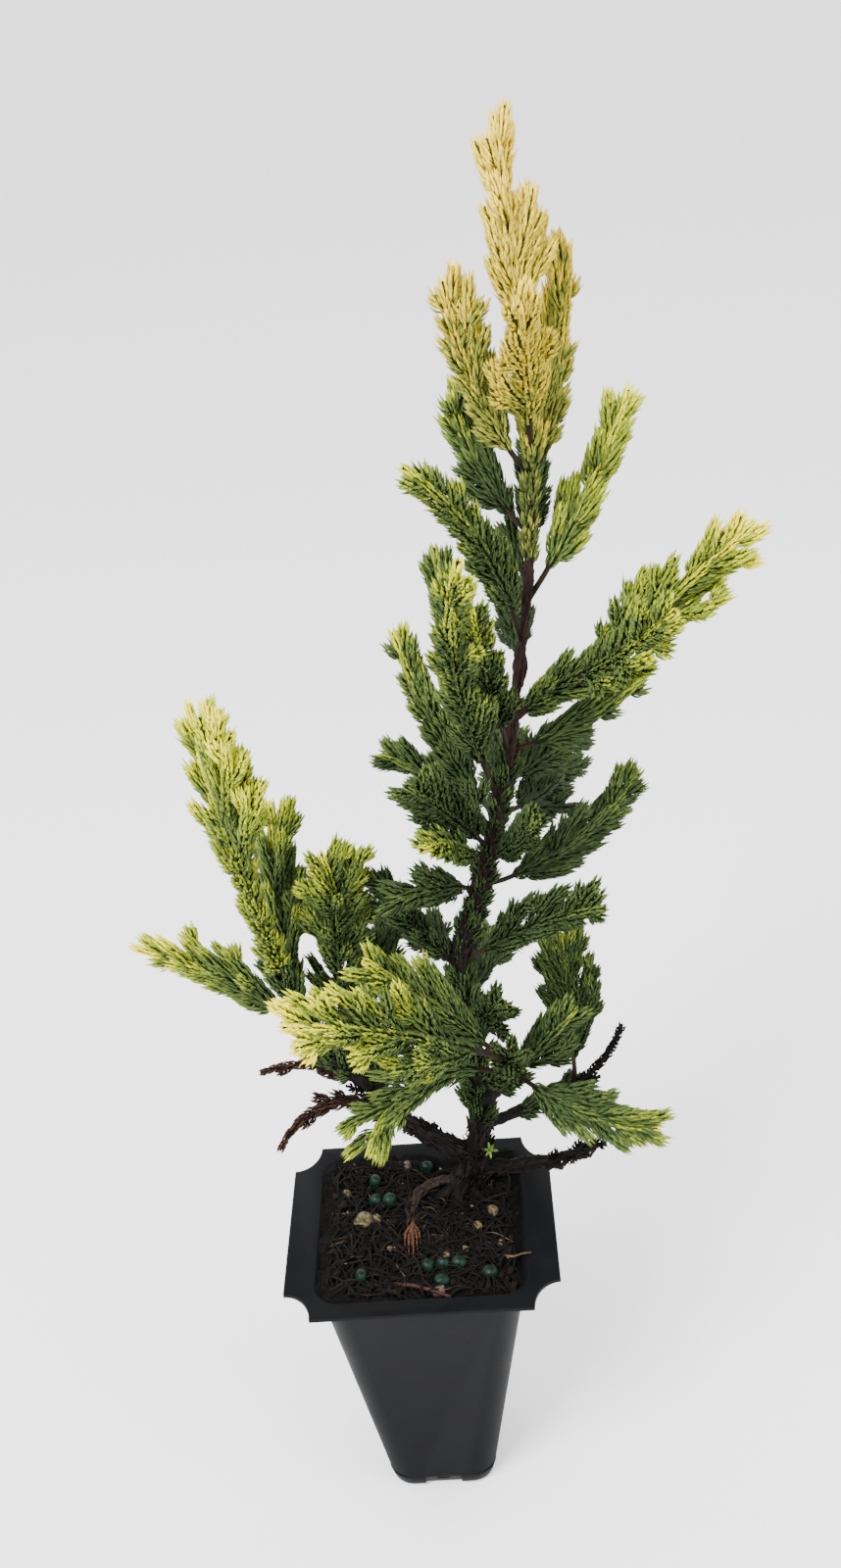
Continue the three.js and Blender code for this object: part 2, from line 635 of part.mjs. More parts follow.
    length: 45, left: 0.3, right: 0.4, tint: "green" },
  { name: "dead_right", host: "bough_right_back", at: 0.8, heading: 345, rise: 35, lift: 40, sweep: -5,
    length: 31, left: 0.2, right: 0.2, tint: "black" },
  { name: "dead_left_flat", host: "bough_left_low", at: 0.94, heading: 130, rise: 20, lift: -25,
    sweep: 75, length: 33, left: 0.3, right: 0.2, tint: "brown" },
  { name: "dead_left_down", host: "bough_left_low", at: 0.72, heading: 165, rise: 35, lift: -70,
    sweep: 75, length: 36, left: 0.25, right: 0.2, tint: "brown" },
  { name: "sprout_right", host: "trunk", at: 138, heading: 300, rise: 40, lift: 5, sweep: -15,
    length: 31, left: 0.4, right: 0.5, tint: "dark" },
  { name: "back_high", host: "trunk", at: 193, heading: 80, rise: 5, lift: 0, sweep: 15,
    length: 60, left: 0.35, right: 0.4, tint: "dark" },
  { name: "back_low", host: "trunk", at: 142, heading: 85, rise: -10, lift: -10, sweep: -5,
    length: 69, left: 0.35, right: 0.35, tint: "dark" },
  { name: "back_foot", host: "trunk", at: 119, heading: 105, rise: -15, lift: -5, sweep: 0,
    length: 59, left: 0.35, right: 0.35, tint: "dark" },
];

// Every stem takes its room first. A side shoot that would come too near a limb, another stem
// or a shoot of another spray is left out
const stems = SPRAYS.map((spray) => arc(rootOn(spray.host, spray.at), spray));
const stemBeads = SPRAYS.map((spray, k) => {
  const start = stems[k][0];
  const bareReach = start.distanceTo(stems[k][ARC_STEPS]) * BARE + BARE_MARGIN;
  const radiusAt = (place) => (start.distanceTo(place) < bareReach ? STEM : PLUME);
  return beadsOf(stems[k], STEM_SKIP, radiusAt);
});

SPRAYS.forEach((spray, k) => {
  const others = stemBeads.filter((_, i) => i !== k).flat();
  const own = [];
  const lines = growSpray(spray, k, stems[k]).filter((line) => {
    const beads = beadsOf(line, ROOT_SKIP, () => PLUME);
    const inner = beadsOf(line, NEST.skip, () => NEST.radius);
    const free = clearOf(beads, taken) && clearOf(beads, others) && clearOf(inner, own);
    if (free) own.push(...inner);
    return free;
  });
  lines.forEach((line) => taken.push(...beadsOf(line, ROOT_SKIP, () => PLUME)));
  const shoots = lines.map((line) => plume(line, 0));
  const whole = wasm.Manifold.union([plume(stems[k], STEM_BARE), ...shoots]);
  const free = largestOf(whole.subtract(limbSolid(limbs[spray.host], GAP))).simplify(FINEST);
  plant.add(piece(spray.name, geometryOf(free), TINTS[spray.tint], 0.8));
});

export default plant;
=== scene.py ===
# %% [markdown]
# # A lime glow juniper in its nursery pot
# Places are in millimetres from the centre of the pot's flat underside, with +Z up and -Y to
# the front, and MM turns them into Blender's metres.

# %% Load the frame
import math
from collections import defaultdict, namedtuple

import bpy
import numpy as np
from mathutils import Matrix, Vector


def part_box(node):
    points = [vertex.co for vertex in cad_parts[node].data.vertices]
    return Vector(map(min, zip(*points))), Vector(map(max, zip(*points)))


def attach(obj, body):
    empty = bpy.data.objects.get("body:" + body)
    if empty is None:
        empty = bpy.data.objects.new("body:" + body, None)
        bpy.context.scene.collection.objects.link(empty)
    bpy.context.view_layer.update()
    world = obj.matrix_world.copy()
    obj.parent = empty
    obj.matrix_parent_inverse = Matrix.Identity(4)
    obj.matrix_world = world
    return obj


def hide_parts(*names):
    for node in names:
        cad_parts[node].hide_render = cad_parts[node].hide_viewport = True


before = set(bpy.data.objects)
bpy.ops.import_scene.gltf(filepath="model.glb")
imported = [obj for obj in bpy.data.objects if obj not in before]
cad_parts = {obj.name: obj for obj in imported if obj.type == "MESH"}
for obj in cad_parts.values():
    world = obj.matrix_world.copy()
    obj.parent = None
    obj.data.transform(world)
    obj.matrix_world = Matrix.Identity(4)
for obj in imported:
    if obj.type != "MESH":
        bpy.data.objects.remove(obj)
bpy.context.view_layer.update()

MM = 0.001

# %% [markdown]
# The camera stands where the photographer stood: a little above the plant, looking down on the
# pot, and rolled by a few degrees. Its place, its turn and its focal length in pixels come from a
# fit to the pot's edges in the photo. The lens follows from the picture's longer side, and the
# turn is built from the three directions that the camera's own axes take.

# %% Camera
PICTURE_HEIGHT = 1600
FOCAL_LENGTH = 1679
SENSOR = 36.0
PITCH = math.radians(27.48)
ROLL = math.radians(5.01)
YAW = math.radians(-2.38)
CAMERA_PLACE = (23.6, -331.0, 385.7)

bpy.ops.object.camera_add(location=Vector(CAMERA_PLACE) * MM)
camera = bpy.context.object
camera.name = "photo_camera"
level_reach = math.cos(PITCH)
forward = Vector((math.sin(YAW) * level_reach, math.cos(YAW) * level_reach, -math.sin(PITCH)))
level = Vector((math.cos(YAW), -math.sin(YAW), 0))
down = forward.cross(level)
right = level * math.cos(ROLL) + down * math.sin(ROLL)
up = level * math.sin(ROLL) - down * math.cos(ROLL)
camera.rotation_euler = Matrix((right, up, -forward)).transposed().to_euler()
camera.data.sensor_width = SENSOR
camera.data.lens = FOCAL_LENGTH / PICTURE_HEIGHT * SENSOR
camera.data.clip_end = 100
bpy.context.scene.camera = camera
print("lens", round(camera.data.lens, 1), "mm")

# %% [markdown]
# Modelling by script repeats a few gestures: clear the selection, put a new primitive's place
# into its mesh, pick points by where they are, and apply a modifier. Each gets a helper, so
# that the steps below read like the moves of a hand.

# %% Helpers for modelling
def deselect():
    """Returns to object mode with nothing selected."""
    if bpy.context.mode != "OBJECT":
        bpy.ops.object.mode_set(mode="OBJECT")
    bpy.ops.object.select_all(action="DESELECT")


def begin(name):
    """Names the new primitive, puts its place into its mesh and opens it for editing."""
    bpy.ops.object.transform_apply(location=True, rotation=True, scale=True)
    piece = bpy.context.object
    piece.name = name
    piece.data.name = name
    bpy.ops.object.mode_set(mode="EDIT")
    return piece


def pick(piece, kind, test):
    """Selects the vertices, edges or faces of a piece whose points pass a test together."""
    bpy.ops.mesh.select_mode(type=kind)
    bpy.ops.mesh.select_all(action="DESELECT")
    bpy.ops.object.mode_set(mode="OBJECT")
    mesh = piece.data
    if kind == "VERT":
        for vertex in mesh.vertices:
            vertex.select = test([vertex.co])
    else:
        for part in mesh.edges if kind == "EDGE" else mesh.polygons:
            part.select = test([mesh.vertices[i].co for i in part.vertices])
    bpy.ops.object.mode_set(mode="EDIT")


def activate(piece):
    deselect()
    piece.select_set(True)
    bpy.context.view_layer.objects.active = piece


def modify(piece, kind, **settings):
    """Adds a modifier with its settings and applies it."""
    activate(piece)
    bpy.ops.object.modifier_add(type=kind)
    modifier = piece.modifiers[-1]
    for name, value in settings.items():
        setattr(modifier, name, value)
    bpy.ops.object.modifier_apply(modifier=modifier.name)


def smooth(piece, angle=35):
    activate(piece)
    bpy.ops.object.shade_smooth_by_angle(angle=math.radians(angle))


def triangles(piece):
    return sum(len(face.vertices) - 2 for face in piece.data.polygons)


def dress(piece, material, slot, *nodes):
    """Gives a piece its material and its place on the frame, and hides the solids that it stands for."""
    piece.data.materials.clear()
    piece.data.materials.append(material)
    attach(piece, "root")
    if nodes:
        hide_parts(*nodes)
    print(piece.name, triangles(piece), "triangles")


# %% [markdown]
# Every finish below is a node material. Colours are written as they look on a screen, and one
# function turns them into the linear light that a shader adds up. Another adds a node with its
# settings, values and links in one go. The short ones after it are the steps that nearly every
# finish is made of: a noise in the object's own space, a ramp of colours, and a bump.

# %% Helpers for materials
def linear(code):
    """A screen colour such as #8a7f60 as the linear colour of a shader."""
    values = [int(code[i:i + 2], 16) / 255 for i in (1, 3, 5)]
    return [v / 12.92 if v <= 0.04045 else ((v + 0.055) / 1.055) ** 2.4 for v in values] + [1.0]


def new_material(name):
    """An empty material with its shader, and the tree that both stand in."""
    material = bpy.data.materials.new(name)
    material.use_nodes = True
    return material, material.node_tree.nodes["Principled BSDF"]


def plug(material, node, sockets):
    """Fills sockets of a node: a link where the value is another node's output, or a constant."""
    for name, value in sockets.items():
        if isinstance(value, bpy.types.NodeSocket):
            material.node_tree.links.new(value, node.inputs[name])
        else:
            node.inputs[name].default_value = value


def add(material, kind, sockets=None, stops=None, **settings):
    """Adds a node: settings by name, values or links by socket, and the stops of a ramp."""
    made = material.node_tree.nodes.new(kind)
    for name, value in settings.items():
        setattr(made, name, value)
    plug(material, made, sockets or {})
    for k, (position, code) in enumerate(stops or []):
        elements = made.color_ramp.elements
        element = elements[k] if k < 2 else elements.new(position)
        element.position = position
        element.color = linear(code)
    return made


def grain(size):
    """Scale of a noise node whose lumps are about this many millimetres across."""
    return 1 / (size * MM)


def object_place(material):
    return add(material, "ShaderNodeTexCoord").outputs["Object"]


def noise(material, place, size, detail):
    sockets = {"Vector": place, "Scale": grain(size), "Detail": detail}
    return add(material, "ShaderNodeTexNoise", sockets).outputs["Fac"]


def ramp(material, value, *stops):
    return add(material, "ShaderNodeValToRGB", {"Fac": value}, stops).outputs["Color"]


def bump(material, height, strength, distance):
    sockets = {"Height": height, "Strength": strength, "Distance": distance * MM}
    return add(material, "ShaderNodeBump", sockets).outputs["Normal"]


def speckled(name, low, high, size, roughness, detail=4.0, full=0.7, specular=0.15):
    """A matt stone, fibre or skin with soft mottling between two colours."""
    material, shader = new_material(name)
    mottle = noise(material, object_place(material), size, detail)
    plug(material, shader, {"Base Color": ramp(material, mottle, (0.35, low), (full, high)),
                            "Roughness": roughness, "Specular IOR Level": specular})
    return material


# %% [markdown]
# Plain soft studio light: a pale board that runs far behind the plant, a bright even sky from
# all round, and one broad lamp above the front left that gives the needles their lit side.

# %% Floor and light
SKY_STRENGTH = 2.4
LAMP_AIM = Vector((15, 10, 180)) * MM

board, board_shader = new_material("matt_white_board")
board_noise = add(board, "ShaderNodeTexNoise", {"Scale": grain(400), "Detail": 2.0})
board_colour = ramp(board, board_noise.outputs["Fac"], (0.3, "#f0f0f0"), (0.7, "#f7f7f7"))
plug(board, board_shader, {"Base Color": board_colour, "Roughness": 0.9})

deselect()
bpy.ops.mesh.primitive_plane_add(size=60)
floor = bpy.context.object
floor.name = "floor"
floor.data.materials.append(board)

world = bpy.data.worlds.new("studio")
bpy.context.scene.world = world
world.use_nodes = True
plug(world, world.node_tree.nodes["Background"],
     {"Color": linear("#ffffff"), "Strength": SKY_STRENGTH})


def lamp(name, place, watts, size):
    """A square lamp in millimetres that faces the middle of the plant."""
    bpy.ops.object.light_add(type="AREA", location=Vector(place) * MM)
    light = bpy.context.object
    light.name = name
    light.data.energy = watts
    light.data.size = size * MM
    aim = LAMP_AIM - light.location
    light.rotation_euler = aim.to_track_quat("-Z", "Y").to_euler()


lamp("key_lamp", (-500, -700, 1100), 34.0, 500)
lamp("fill_lamp", (800, -500, 700), 8.0, 700)

# %% [markdown]
# The pot is one thin sheet of plastic, drawn down hot over a mould, so nothing on it is sharp.
# A hand would start it as a small square, pull it up through its heights, and round the four
# long edges. The rim is a plate with a bite out of each corner, and the hollow and the arches
# of the foot are cut last. Cutting solids keeps every wall closed.

# %% Pot
POT_OUTSIDE = [(0, 23.6), (0.9, 26.6), (4.4, 29.8), (79, 51.9), (81.4, 53.4), (82.7, 57)]
POT_INSIDE = [(1.4, 21), (5.2, 28), (79, 50.1), (81.6, 51.8), (83.6, 55)]
POT_CORNER = 6.0
RIM_THICKNESS = 1.1
NOTCH = (7.0, 9.0)
FOOT_TOE = (1.2, 28.4)
FOOT_ANKLE = (4.6, 29.9)
ARCH_WIDE = 10.0
SLOT = (3.4, 5.0, 0.8)
EDGE_ROUNDING = 0.22
pot_low, pot_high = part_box("pot")
RIM_TOP = pot_high.z / MM
RIM = (pot_high - pot_low) / MM


def square_loft(name, sections):
    """Pulls a square up through (height, width) sections and rounds its long edges."""
    z, width = sections[0]
    deselect()
    bpy.ops.mesh.primitive_plane_add(size=width * MM, location=(0, 0, z * MM))
    piece = begin(name)
    bpy.ops.mesh.select_all(action="SELECT")
    for next_z, next_width in sections[1:]:
        step = {"value": (0, 0, (next_z - z) * MM)}
        bpy.ops.mesh.extrude_region_move(TRANSFORM_OT_translate=step)
        scale = next_width / width
        bpy.ops.transform.resize(value=(scale, scale, 1))
        z, width = next_z, next_width
    pick(piece, "EDGE", lambda ends: abs(ends[0].z - ends[1].z) > 0.3 * MM)
    bpy.ops.mesh.bevel(offset=POT_CORNER * MM, segments=9, affect="EDGES", clamp_overlap=False)
    bpy.ops.mesh.select_all(action="SELECT")
    bpy.ops.mesh.normals_make_consistent(inside=False)
    deselect()
    return piece


def block(wide, deep, high, x, y, z):
    """A box in millimetres that later cuts or joins another piece."""
    deselect()
    scale = Vector((wide, deep, high)) * MM
    bpy.ops.mesh.primitive_cube_add(size=1, location=Vector((x, y, z)) * MM, scale=scale)
    piece = begin("block")
    deselect()
    return piece


def combine(piece, other, operation):
    """Joins a piece with another solid or cuts that solid out of it, and uses it up."""
    modify(piece, "BOOLEAN", object=other, operation=operation, solver="EXACT")
    bpy.data.objects.remove(other)


pot = square_loft("pot_shell", POT_OUTSIDE)
rim = block(RIM.x, RIM.y, RIM_THICKNESS, 0, 0, RIM_TOP - RIM_THICKNESS / 2)
for side_x in (-1, 1):
    for side_y in (-1, 1):
        deselect()
        corner = Vector((side_x * RIM.x / 2, side_y * RIM.y / 2, RIM_TOP)) * MM
        bite = Vector((*NOTCH, 2 * RIM_THICKNESS)) * MM
        bpy.ops.mesh.primitive_cylinder_add(vertices=64, radius=1, depth=2, location=corner,
                                            scale=bite)
        cutter = begin("bite")
        deselect()
        combine(rim, cutter, "DIFFERENCE")
combine(pot, rim, "UNION")

lobes = square_loft("foot_lobes", [FOOT_TOE, FOOT_ANKLE])
arch_z = FOOT_ANKLE[0] / 2
combine(lobes, block(ARCH_WIDE, RIM.y, 2 * FOOT_ANKLE[0], 0, 0, arch_z), "DIFFERENCE")
combine(lobes, block(RIM.x, ARCH_WIDE, 2 * FOOT_ANKLE[0], 0, 0, arch_z), "DIFFERENCE")
combine(pot, lobes, "UNION")
combine(pot, square_loft("hollow", POT_INSIDE), "DIFFERENCE")
for side in (-1, 1):
    reach = side * FOOT_ANKLE[1] / 2
    slot_z = POT_OUTSIDE[2][0] - SLOT[2]
    combine(pot, block(SLOT[0], SLOT[1], SLOT[2], 0, reach, slot_z), "DIFFERENCE")
    combine(pot, block(SLOT[1], SLOT[0], SLOT[2], reach, 0, slot_z), "DIFFERENCE")
modify(pot, "BEVEL", width=EDGE_ROUNDING * MM, segments=2, limit_method="ANGLE",
       angle_limit=math.radians(40))
smooth(pot)

# %% [markdown]
# Recycled polystyrene sheet is black-grey and barely glossy. Its skin has a faint orange peel
# from the mould, and handling leaves it slightly uneven in sheen, which two noises give.

# %% Pot finish
sheet, sheet_shader = new_material("thermoformed_polystyrene")
sheet_place = object_place(sheet)
handling = noise(sheet, sheet_place, 9, 4.0)
orange_peel = noise(sheet, sheet_place, 0.9, 2.0)
sheen = add(sheet, "ShaderNodeMapRange", {"Value": handling, "To Min": 0.42, "To Max": 0.6})
plug(sheet, sheet_shader, {"Base Color": ramp(sheet, handling, (0.3, "#08080a"), (0.75, "#0c0d0f")),
                           "Roughness": sheen.outputs["Result"],
                           "Normal": bump(sheet, orange_peel, 0.12, 0.15),
                           "Specular IOR Level": 0.05})
dress(pot, sheet, "pot_plastic", "pot")

# %% [markdown]
# Potting mix is peat, bark fines and fibre, watered down until it sank a few millimetres at the
# front. A fine grid takes the shape: it is drawn in to the pot's round corners, lifted to the
# height of the mix at each point, and roughened by two cloud textures before it gets its depth.

# %% Potting mix
TRUNK_FOOT = (10.6, 14.5, 80.3)
SOIL_FRONT, SOIL_BACK = 79.2, 83.4
CLIMB_BACK, CLIMB_LEFT, LEFT_SHARE = (-18, 24), (-6, 24), 0.8
SOIL_LUMP, WAVE_X, WAVE_Y = 0.35, 0.61, 0.53
CLEARANCE = 0.3
SOIL_HALF = 25.2
SOIL_DEPTH, SOIL_TAPER = 8, 0.93
CLODS, CRUMBS = ("clods", 3.2, 1, 2.2), ("crumbs", 0.9, 2, 1.1)
WALL_HEIGHTS, WALL_HALVES = (79, 81.6, 83.6), (25.2, 26.0, 27.6)
FOOTING, FOOTING_BLEND = 9.0, 7.0
SOIL_CELLS = 110


def smoothstep(x, low, high):
    t = np.clip((x - low) / (high - low), 0, 1)
    return t * t * (3 - 2 * t)


def soil_top(x, y):
    """Height of the mix in millimetres: it rises to the back and left, and is level at the foot."""
    back = smoothstep(y, *CLIMB_BACK)
    left = LEFT_SHARE * smoothstep(-x, *CLIMB_LEFT)
    lump = SOIL_LUMP * np.sin(WAVE_X * x + 1) * np.cos(WAVE_Y * y)
    open_top = SOIL_FRONT + (SOIL_BACK - SOIL_FRONT) * np.maximum(back, left) + lump
    reach = np.hypot(x - TRUNK_FOOT[0], y - TRUNK_FOOT[1])
    away = smoothstep(reach, FOOTING, FOOTING + FOOTING_BLEND)
    return (TRUNK_FOOT[2] - CLEARANCE) * (1 - away) + open_top * away


def rounded_square(u, v, half, corner):
    """Draws a square of -1 to 1 in to a square with round corners."""
    size = np.maximum(np.abs(u), np.abs(v))
    length = np.hypot(u, v) + 1e-9
    a, b = np.abs(u) / length, np.abs(v) / length
    straight = half / np.maximum(a, b)
    inner = half - corner
    turn = a * inner + b * inner
    round_reach = turn + np.sqrt(np.maximum(turn ** 2 - 2 * inner ** 2 + corner ** 2, 0))
    at_corner = (straight * a > inner) & (straight * b > inner)
    reach = np.where(at_corner, round_reach, straight)
    return u / length * size * reach, v / length * size * reach


def clouds(name, size, depth):
    texture = bpy.data.textures.new(name, "CLOUDS")
    texture.noise_scale = size * MM
    texture.noise_depth = depth
    return texture


deselect()
bpy.ops.mesh.primitive_grid_add(x_subdivisions=SOIL_CELLS, y_subdivisions=SOIL_CELLS, size=2)
soil = begin("mix_surface")
deselect()
flat = np.zeros(len(soil.data.vertices) * 3)
soil.data.vertices.foreach_get("co", flat)
flat = flat.reshape(-1, 3)
soil_x, soil_y = rounded_square(flat[:, 0], flat[:, 1], SOIL_HALF, POT_CORNER)
spread = np.interp(soil_top(soil_x, soil_y), WALL_HEIGHTS, WALL_HALVES) / SOIL_HALF
shaped = np.stack([soil_x * spread, soil_y * spread, soil_top(soil_x, soil_y)], 1) * MM
soil.data.vertices.foreach_set("co", shaped.ravel())
for name, size, depth, strength in (CLODS, CRUMBS):
    modify(soil, "DISPLACE", texture=clouds(name, size, depth), strength=strength * MM,
           mid_level=0.5, direction="Z", texture_coords="LOCAL")
activate(soil)
bpy.ops.object.mode_set(mode="EDIT")
bpy.ops.mesh.select_all(action="SELECT")
bpy.ops.mesh.extrude_region_move(TRANSFORM_OT_translate={"value": (0, 0, -SOIL_DEPTH * MM)})
bpy.ops.transform.resize(value=(SOIL_TAPER, SOIL_TAPER, 1))
bpy.ops.mesh.select_all(action="SELECT")
bpy.ops.mesh.normals_make_consistent(inside=False)
deselect()
smooth(soil, 60)

peat, peat_shader = new_material("moist_peat_and_bark_fines")
crumb = noise(peat, object_place(peat), 1.4, 6.0)
peat_colour = ramp(peat, crumb, (0.32, "#020202"), (0.6, "#060504"), (0.78, "#16120e"))
plug(peat, peat_shader, {"Base Color": peat_colour, "Normal": bump(peat, crumb, 0.8, 0.5),
                         "Roughness": 0.92, "Specular IOR Level": 0.1})
dress(soil, peat, "potting_mix", "soil")

# %% [markdown]
# The limbs are drawn as the CAD source draws them: the trunk through a dozen stations, and every
# bough as an arc that leaves its host on a heading and a rise and turns evenly. The rows below
# repeat the source's sizes, so that each new limb lies where its solid is. The host, the middle
# and the tip of each limb were read off the photo, or made up for sprays at the back, and depths
# were judged. A program then fitted heading, rise, lift, sweep and length to these by least
# squares. The rows hold its numbers rounded to 5 degrees and 1 mm, and a few of them differ from
# that. The rows of sprays further down came about in the same way.

# %% Lines of trunk and boughs
TRUNK = np.array([
    (10.6, 14.5, 80.3), (12.8, 13.8, 86), (15.9, 13, 95), (17.6, 12, 108), (16.2, 11, 138),
    (14.7, 13, 156), (20.7, 14, 173), (25.6, 14, 191), (30.1, 15, 209), (37, 14, 253),
    (39.3, 14, 287), (38.8, 13.5, 303),
])
TRUNK_RADII = [3.7, 3.2, 2.9, 2.8, 2.6, 2.5, 2.4, 2.1, 1.7, 1.15, 0.95, 0.85]
ARC_STEPS = 8
UP = np.array([0.0, 0.0, 1.0])

Bough = namedtuple("Bough", "name host at heading rise lift sweep length root tip")
BOUGHS = [Bough(*row) for row in (
    ("bough_left_low", "trunk", 94, 195, 35, 25, 0, 40, 2.6, 1.9),
    ("bough_left_out", "bough_left_low", 1, 185, 50, 30, 20, 41, 1.7, 1.1),
    ("bough_left_up", "bough_left_low", 0.8, 125, 65, 10, 45, 34, 1.3, 0.9),
    ("bough_front", "trunk", 111, 305, 50, -5, -45, 58, 1.6, 1.1),
    ("bough_right_back", "trunk", 104, 20, 5, -15, 25, 32, 1.7, 1.1),
    ("bough_right_bare", "trunk", 89, 0, 0, 50, -45, 42, 1.9, 1.2),
    ("bough_right_high", "trunk", 221, 345, 40, -5, -10, 24, 1.1, 0.8),
    ("bough_left_mid", "trunk", 155, 190, 50, 10, 35, 26, 1, 0.7),
)]


def direction(heading, rise):
    """Unit vector on a heading from +X towards +Y and a rise above level, in degrees."""
    h, r = math.radians(heading), math.radians(rise)
    return np.array([math.cos(r) * math.cos(h), math.cos(r) * math.sin(h), math.sin(r)])


def arc(start, row):
    """Line that leaves its start on a heading and a rise and turns evenly along its length."""
    points = [np.array(start, float)]
    for k in range(ARC_STEPS):
        t = (k + 0.5) / ARC_STEPS
        step = direction(row.heading + row.sweep * t, row.rise + row.lift * t)
        points.append(points[-1] + step * row.length / ARC_STEPS)
    return np.array(points)


def unit(vector):
    return vector / np.linalg.norm(vector)


def along(points, share):
    """Place on a line at a share of its length, with the direction there."""
    place = share * (len(points) - 1)
    k = min(int(place), len(points) - 2)
    span = points[k + 1] - points[k]
    return points[k] + span * (place - k), unit(span)


limbs = {"trunk": TRUNK}


def root_on(host, at):
    """Start of a limb: at a height on the trunk, or at a share of a bough."""
    if host != "trunk":
        return along(limbs[host], at)[0]
    return np.array([np.interp(at, TRUNK[:, 2], TRUNK[:, axis]) for axis in range(3)])


def bough_radii(bough):
    return np.linspace(bough.root, bough.tip, ARC_STEPS + 1)


for bough in BOUGHS:
    limbs[bough.name] = arc(root_on(bough.host, bough.at), bough)
print(len(limbs), "limbs")

# %% [markdown]
# Trunk and boughs carry bark that splits into long scales. A line of points is given a skin, as
# wide as the limb at every point, and subdivided until it is round. Two cloud textures, pulled
# long by an empty that lies along the limb, then raise the ridges and flakes.

# %% Trunk and boughs
SKIN_SHRINK = 1.02
BARK_STRETCH = 4
BARK_RIDGES = ((1.6, 1.0), (0.7, 0.5))


def distances(points):
    """Length of every span of a line, and how far along the line each point lies."""
    spans = np.linalg.norm(np.diff(points, axis=0), axis=1)
    return spans, np.concatenate([[0], np.cumsum(spans)])


def places_at(points, walked, stops):
    """Places on a line at the given distances from its start."""
    return np.stack([np.interp(stops, walked, points[:, axis]) for axis in range(3)], 1)


def resampled(points, radii, spacing):
    """The same line with even, closer points, and the radius at each."""
    _, walked = distances(points)
    stops = np.linspace(0, walked[-1], max(4, int(walked[-1] / spacing) + 1))
    return places_at(points, walked, stops), np.interp(stops, walked, radii)


def limb_piece(name, points, radii, levels, relief):
    """A limb from a skinned line of vertices, with its bark raised out of it."""
    deselect()
    bpy.ops.mesh.primitive_plane_add(size=MM, location=Vector(points[0]) * MM)
    piece = begin(name)
    bpy.ops.mesh.select_mode(type="VERT")
    bpy.ops.mesh.select_all(action="SELECT")
    bpy.ops.mesh.merge(type="CENTER")
    for before, after in zip(points, points[1:]):
        step = {"value": Vector(after - before) * MM}
        bpy.ops.mesh.extrude_vertices_move(TRANSFORM_OT_translate=step)
    activate(piece)
    bpy.ops.object.modifier_add(type="SKIN")
    for corner, radius in zip(piece.data.skin_vertices[0].data, radii):
        corner.radius = (radius / SKIN_SHRINK * MM, radius / SKIN_SHRINK * MM)
    bpy.ops.object.modifier_apply(modifier=piece.modifiers[-1].name)
    modify(piece, "SUBSURF", levels=levels, render_levels=levels)
    run = Vector(points[-1] - points[0])
    bpy.ops.object.empty_add(location=Vector(points[0]) * MM)
    stretch = bpy.context.object
    stretch.rotation_euler = run.to_track_quat("Z", "Y").to_euler()
    stretch.scale = (1, 1, BARK_STRETCH)
    bpy.context.view_layer.update()
    for size, share in BARK_RIDGES:
        modify(piece, "DISPLACE", texture=clouds("bark_ridges", size, 2), mid_level=0.5,
               strength=share * relief * MM, texture_coords="OBJECT",
               texture_coords_object=stretch)
    bpy.data.objects.remove(stretch)
    smooth(piece, 50)
    return piece


bark, bark_shader = new_material("scaly_juniper_bark")
bark_place = object_place(bark)
bark_long = add(bark, "ShaderNodeMapping", {"Vector": bark_place, "Scale": (1, 1, 0.3)})
scales = noise(bark, bark_long.outputs["Vector"], 1.5, 5.0)
# Low down the bark is darker and less red: partly older bark, partly painted shade for the shadow under
# the foliage.
old_and_shaded_bark = ramp(bark, scales, (0.34, "#020101"), (0.55, "#080504"), (0.72, "#17110e"))
young_bark = ramp(bark, scales, (0.3, "#0d0706"), (0.7, "#26150f"))
height = add(bark, "ShaderNodeSeparateXYZ", {"Vector": bark_place})
youth_and_light = add(bark, "ShaderNodeMapRange",
            {"Value": height.outputs["Z"], "From Min": 150 * MM, "From Max": 215 * MM})
bark_colour = add(bark, "ShaderNodeMix", {"Factor": youth_and_light.outputs["Result"], "A": old_and_shaded_bark,
                                          "B": young_bark}, data_type="RGBA")
plug(bark, bark_shader, {"Base Color": bark_colour.outputs["Result"],
                         "Normal": bump(bark, scales, 0.7, 0.4),
                         "Roughness": 0.85, "Specular IOR Level": 0.15})

trunk_line, trunk_radii = resampled(TRUNK, TRUNK_RADII, 7)
trunk_piece = limb_piece("trunk_bark", trunk_line, trunk_radii, 4, 2.2)
dress(trunk_piece, bark, "bark", "trunk")
for bough in BOUGHS:
    line, radii = resampled(limbs[bough.name], bough_radii(bough), 5)
    dress(limb_piece(bough.name + "_bark", line, radii, 3, 1.5), bark, "bark", bough.name)

# %% [markdown]
# The foliage follows one rule, the same as in the CAD source: a stem, with side shoots to the
# right and left in turn, each a little different by seeded chance. The same seed gives the same
# shoots as the solids have. The rule then goes on to finer twigs that the solids leave out. A row
# ends with the looks of its spray: the family of its colours, where in the family its inner and
# its outer needles are, how long the second set of shoots is beside the first, and the share of
# the stem where the lowest shoot may stand. These and the shares left and right were set one by one.

# %% Growth rule
BARE, LAST = 0.16, 0.9
SPACING, FEWEST = 6, 3
SCATTER, FORK, FAN_TURN = 26, 26, 25
SHOOT_STEPS = 4
FOLLOW, RISE = 0.12, 0.05
SHORTEST = 5
VARY, TAPER, OVERSHOOT = 0.2, 0.6, 3
PLUME, STEM = 2.2, 0.8
BEAD, ROOM = 2.0, 0.35
STEM_SKIP, ROOT_SKIP, BARE_MARGIN = 3.6, 1.5, 2
NEST_SKIP, NEST_RADIUS = 5, 1.9
EXTRA_SIZE = 0.85
LONG_CYCLE = 2147483647
LIGHT = direction(270, 35)

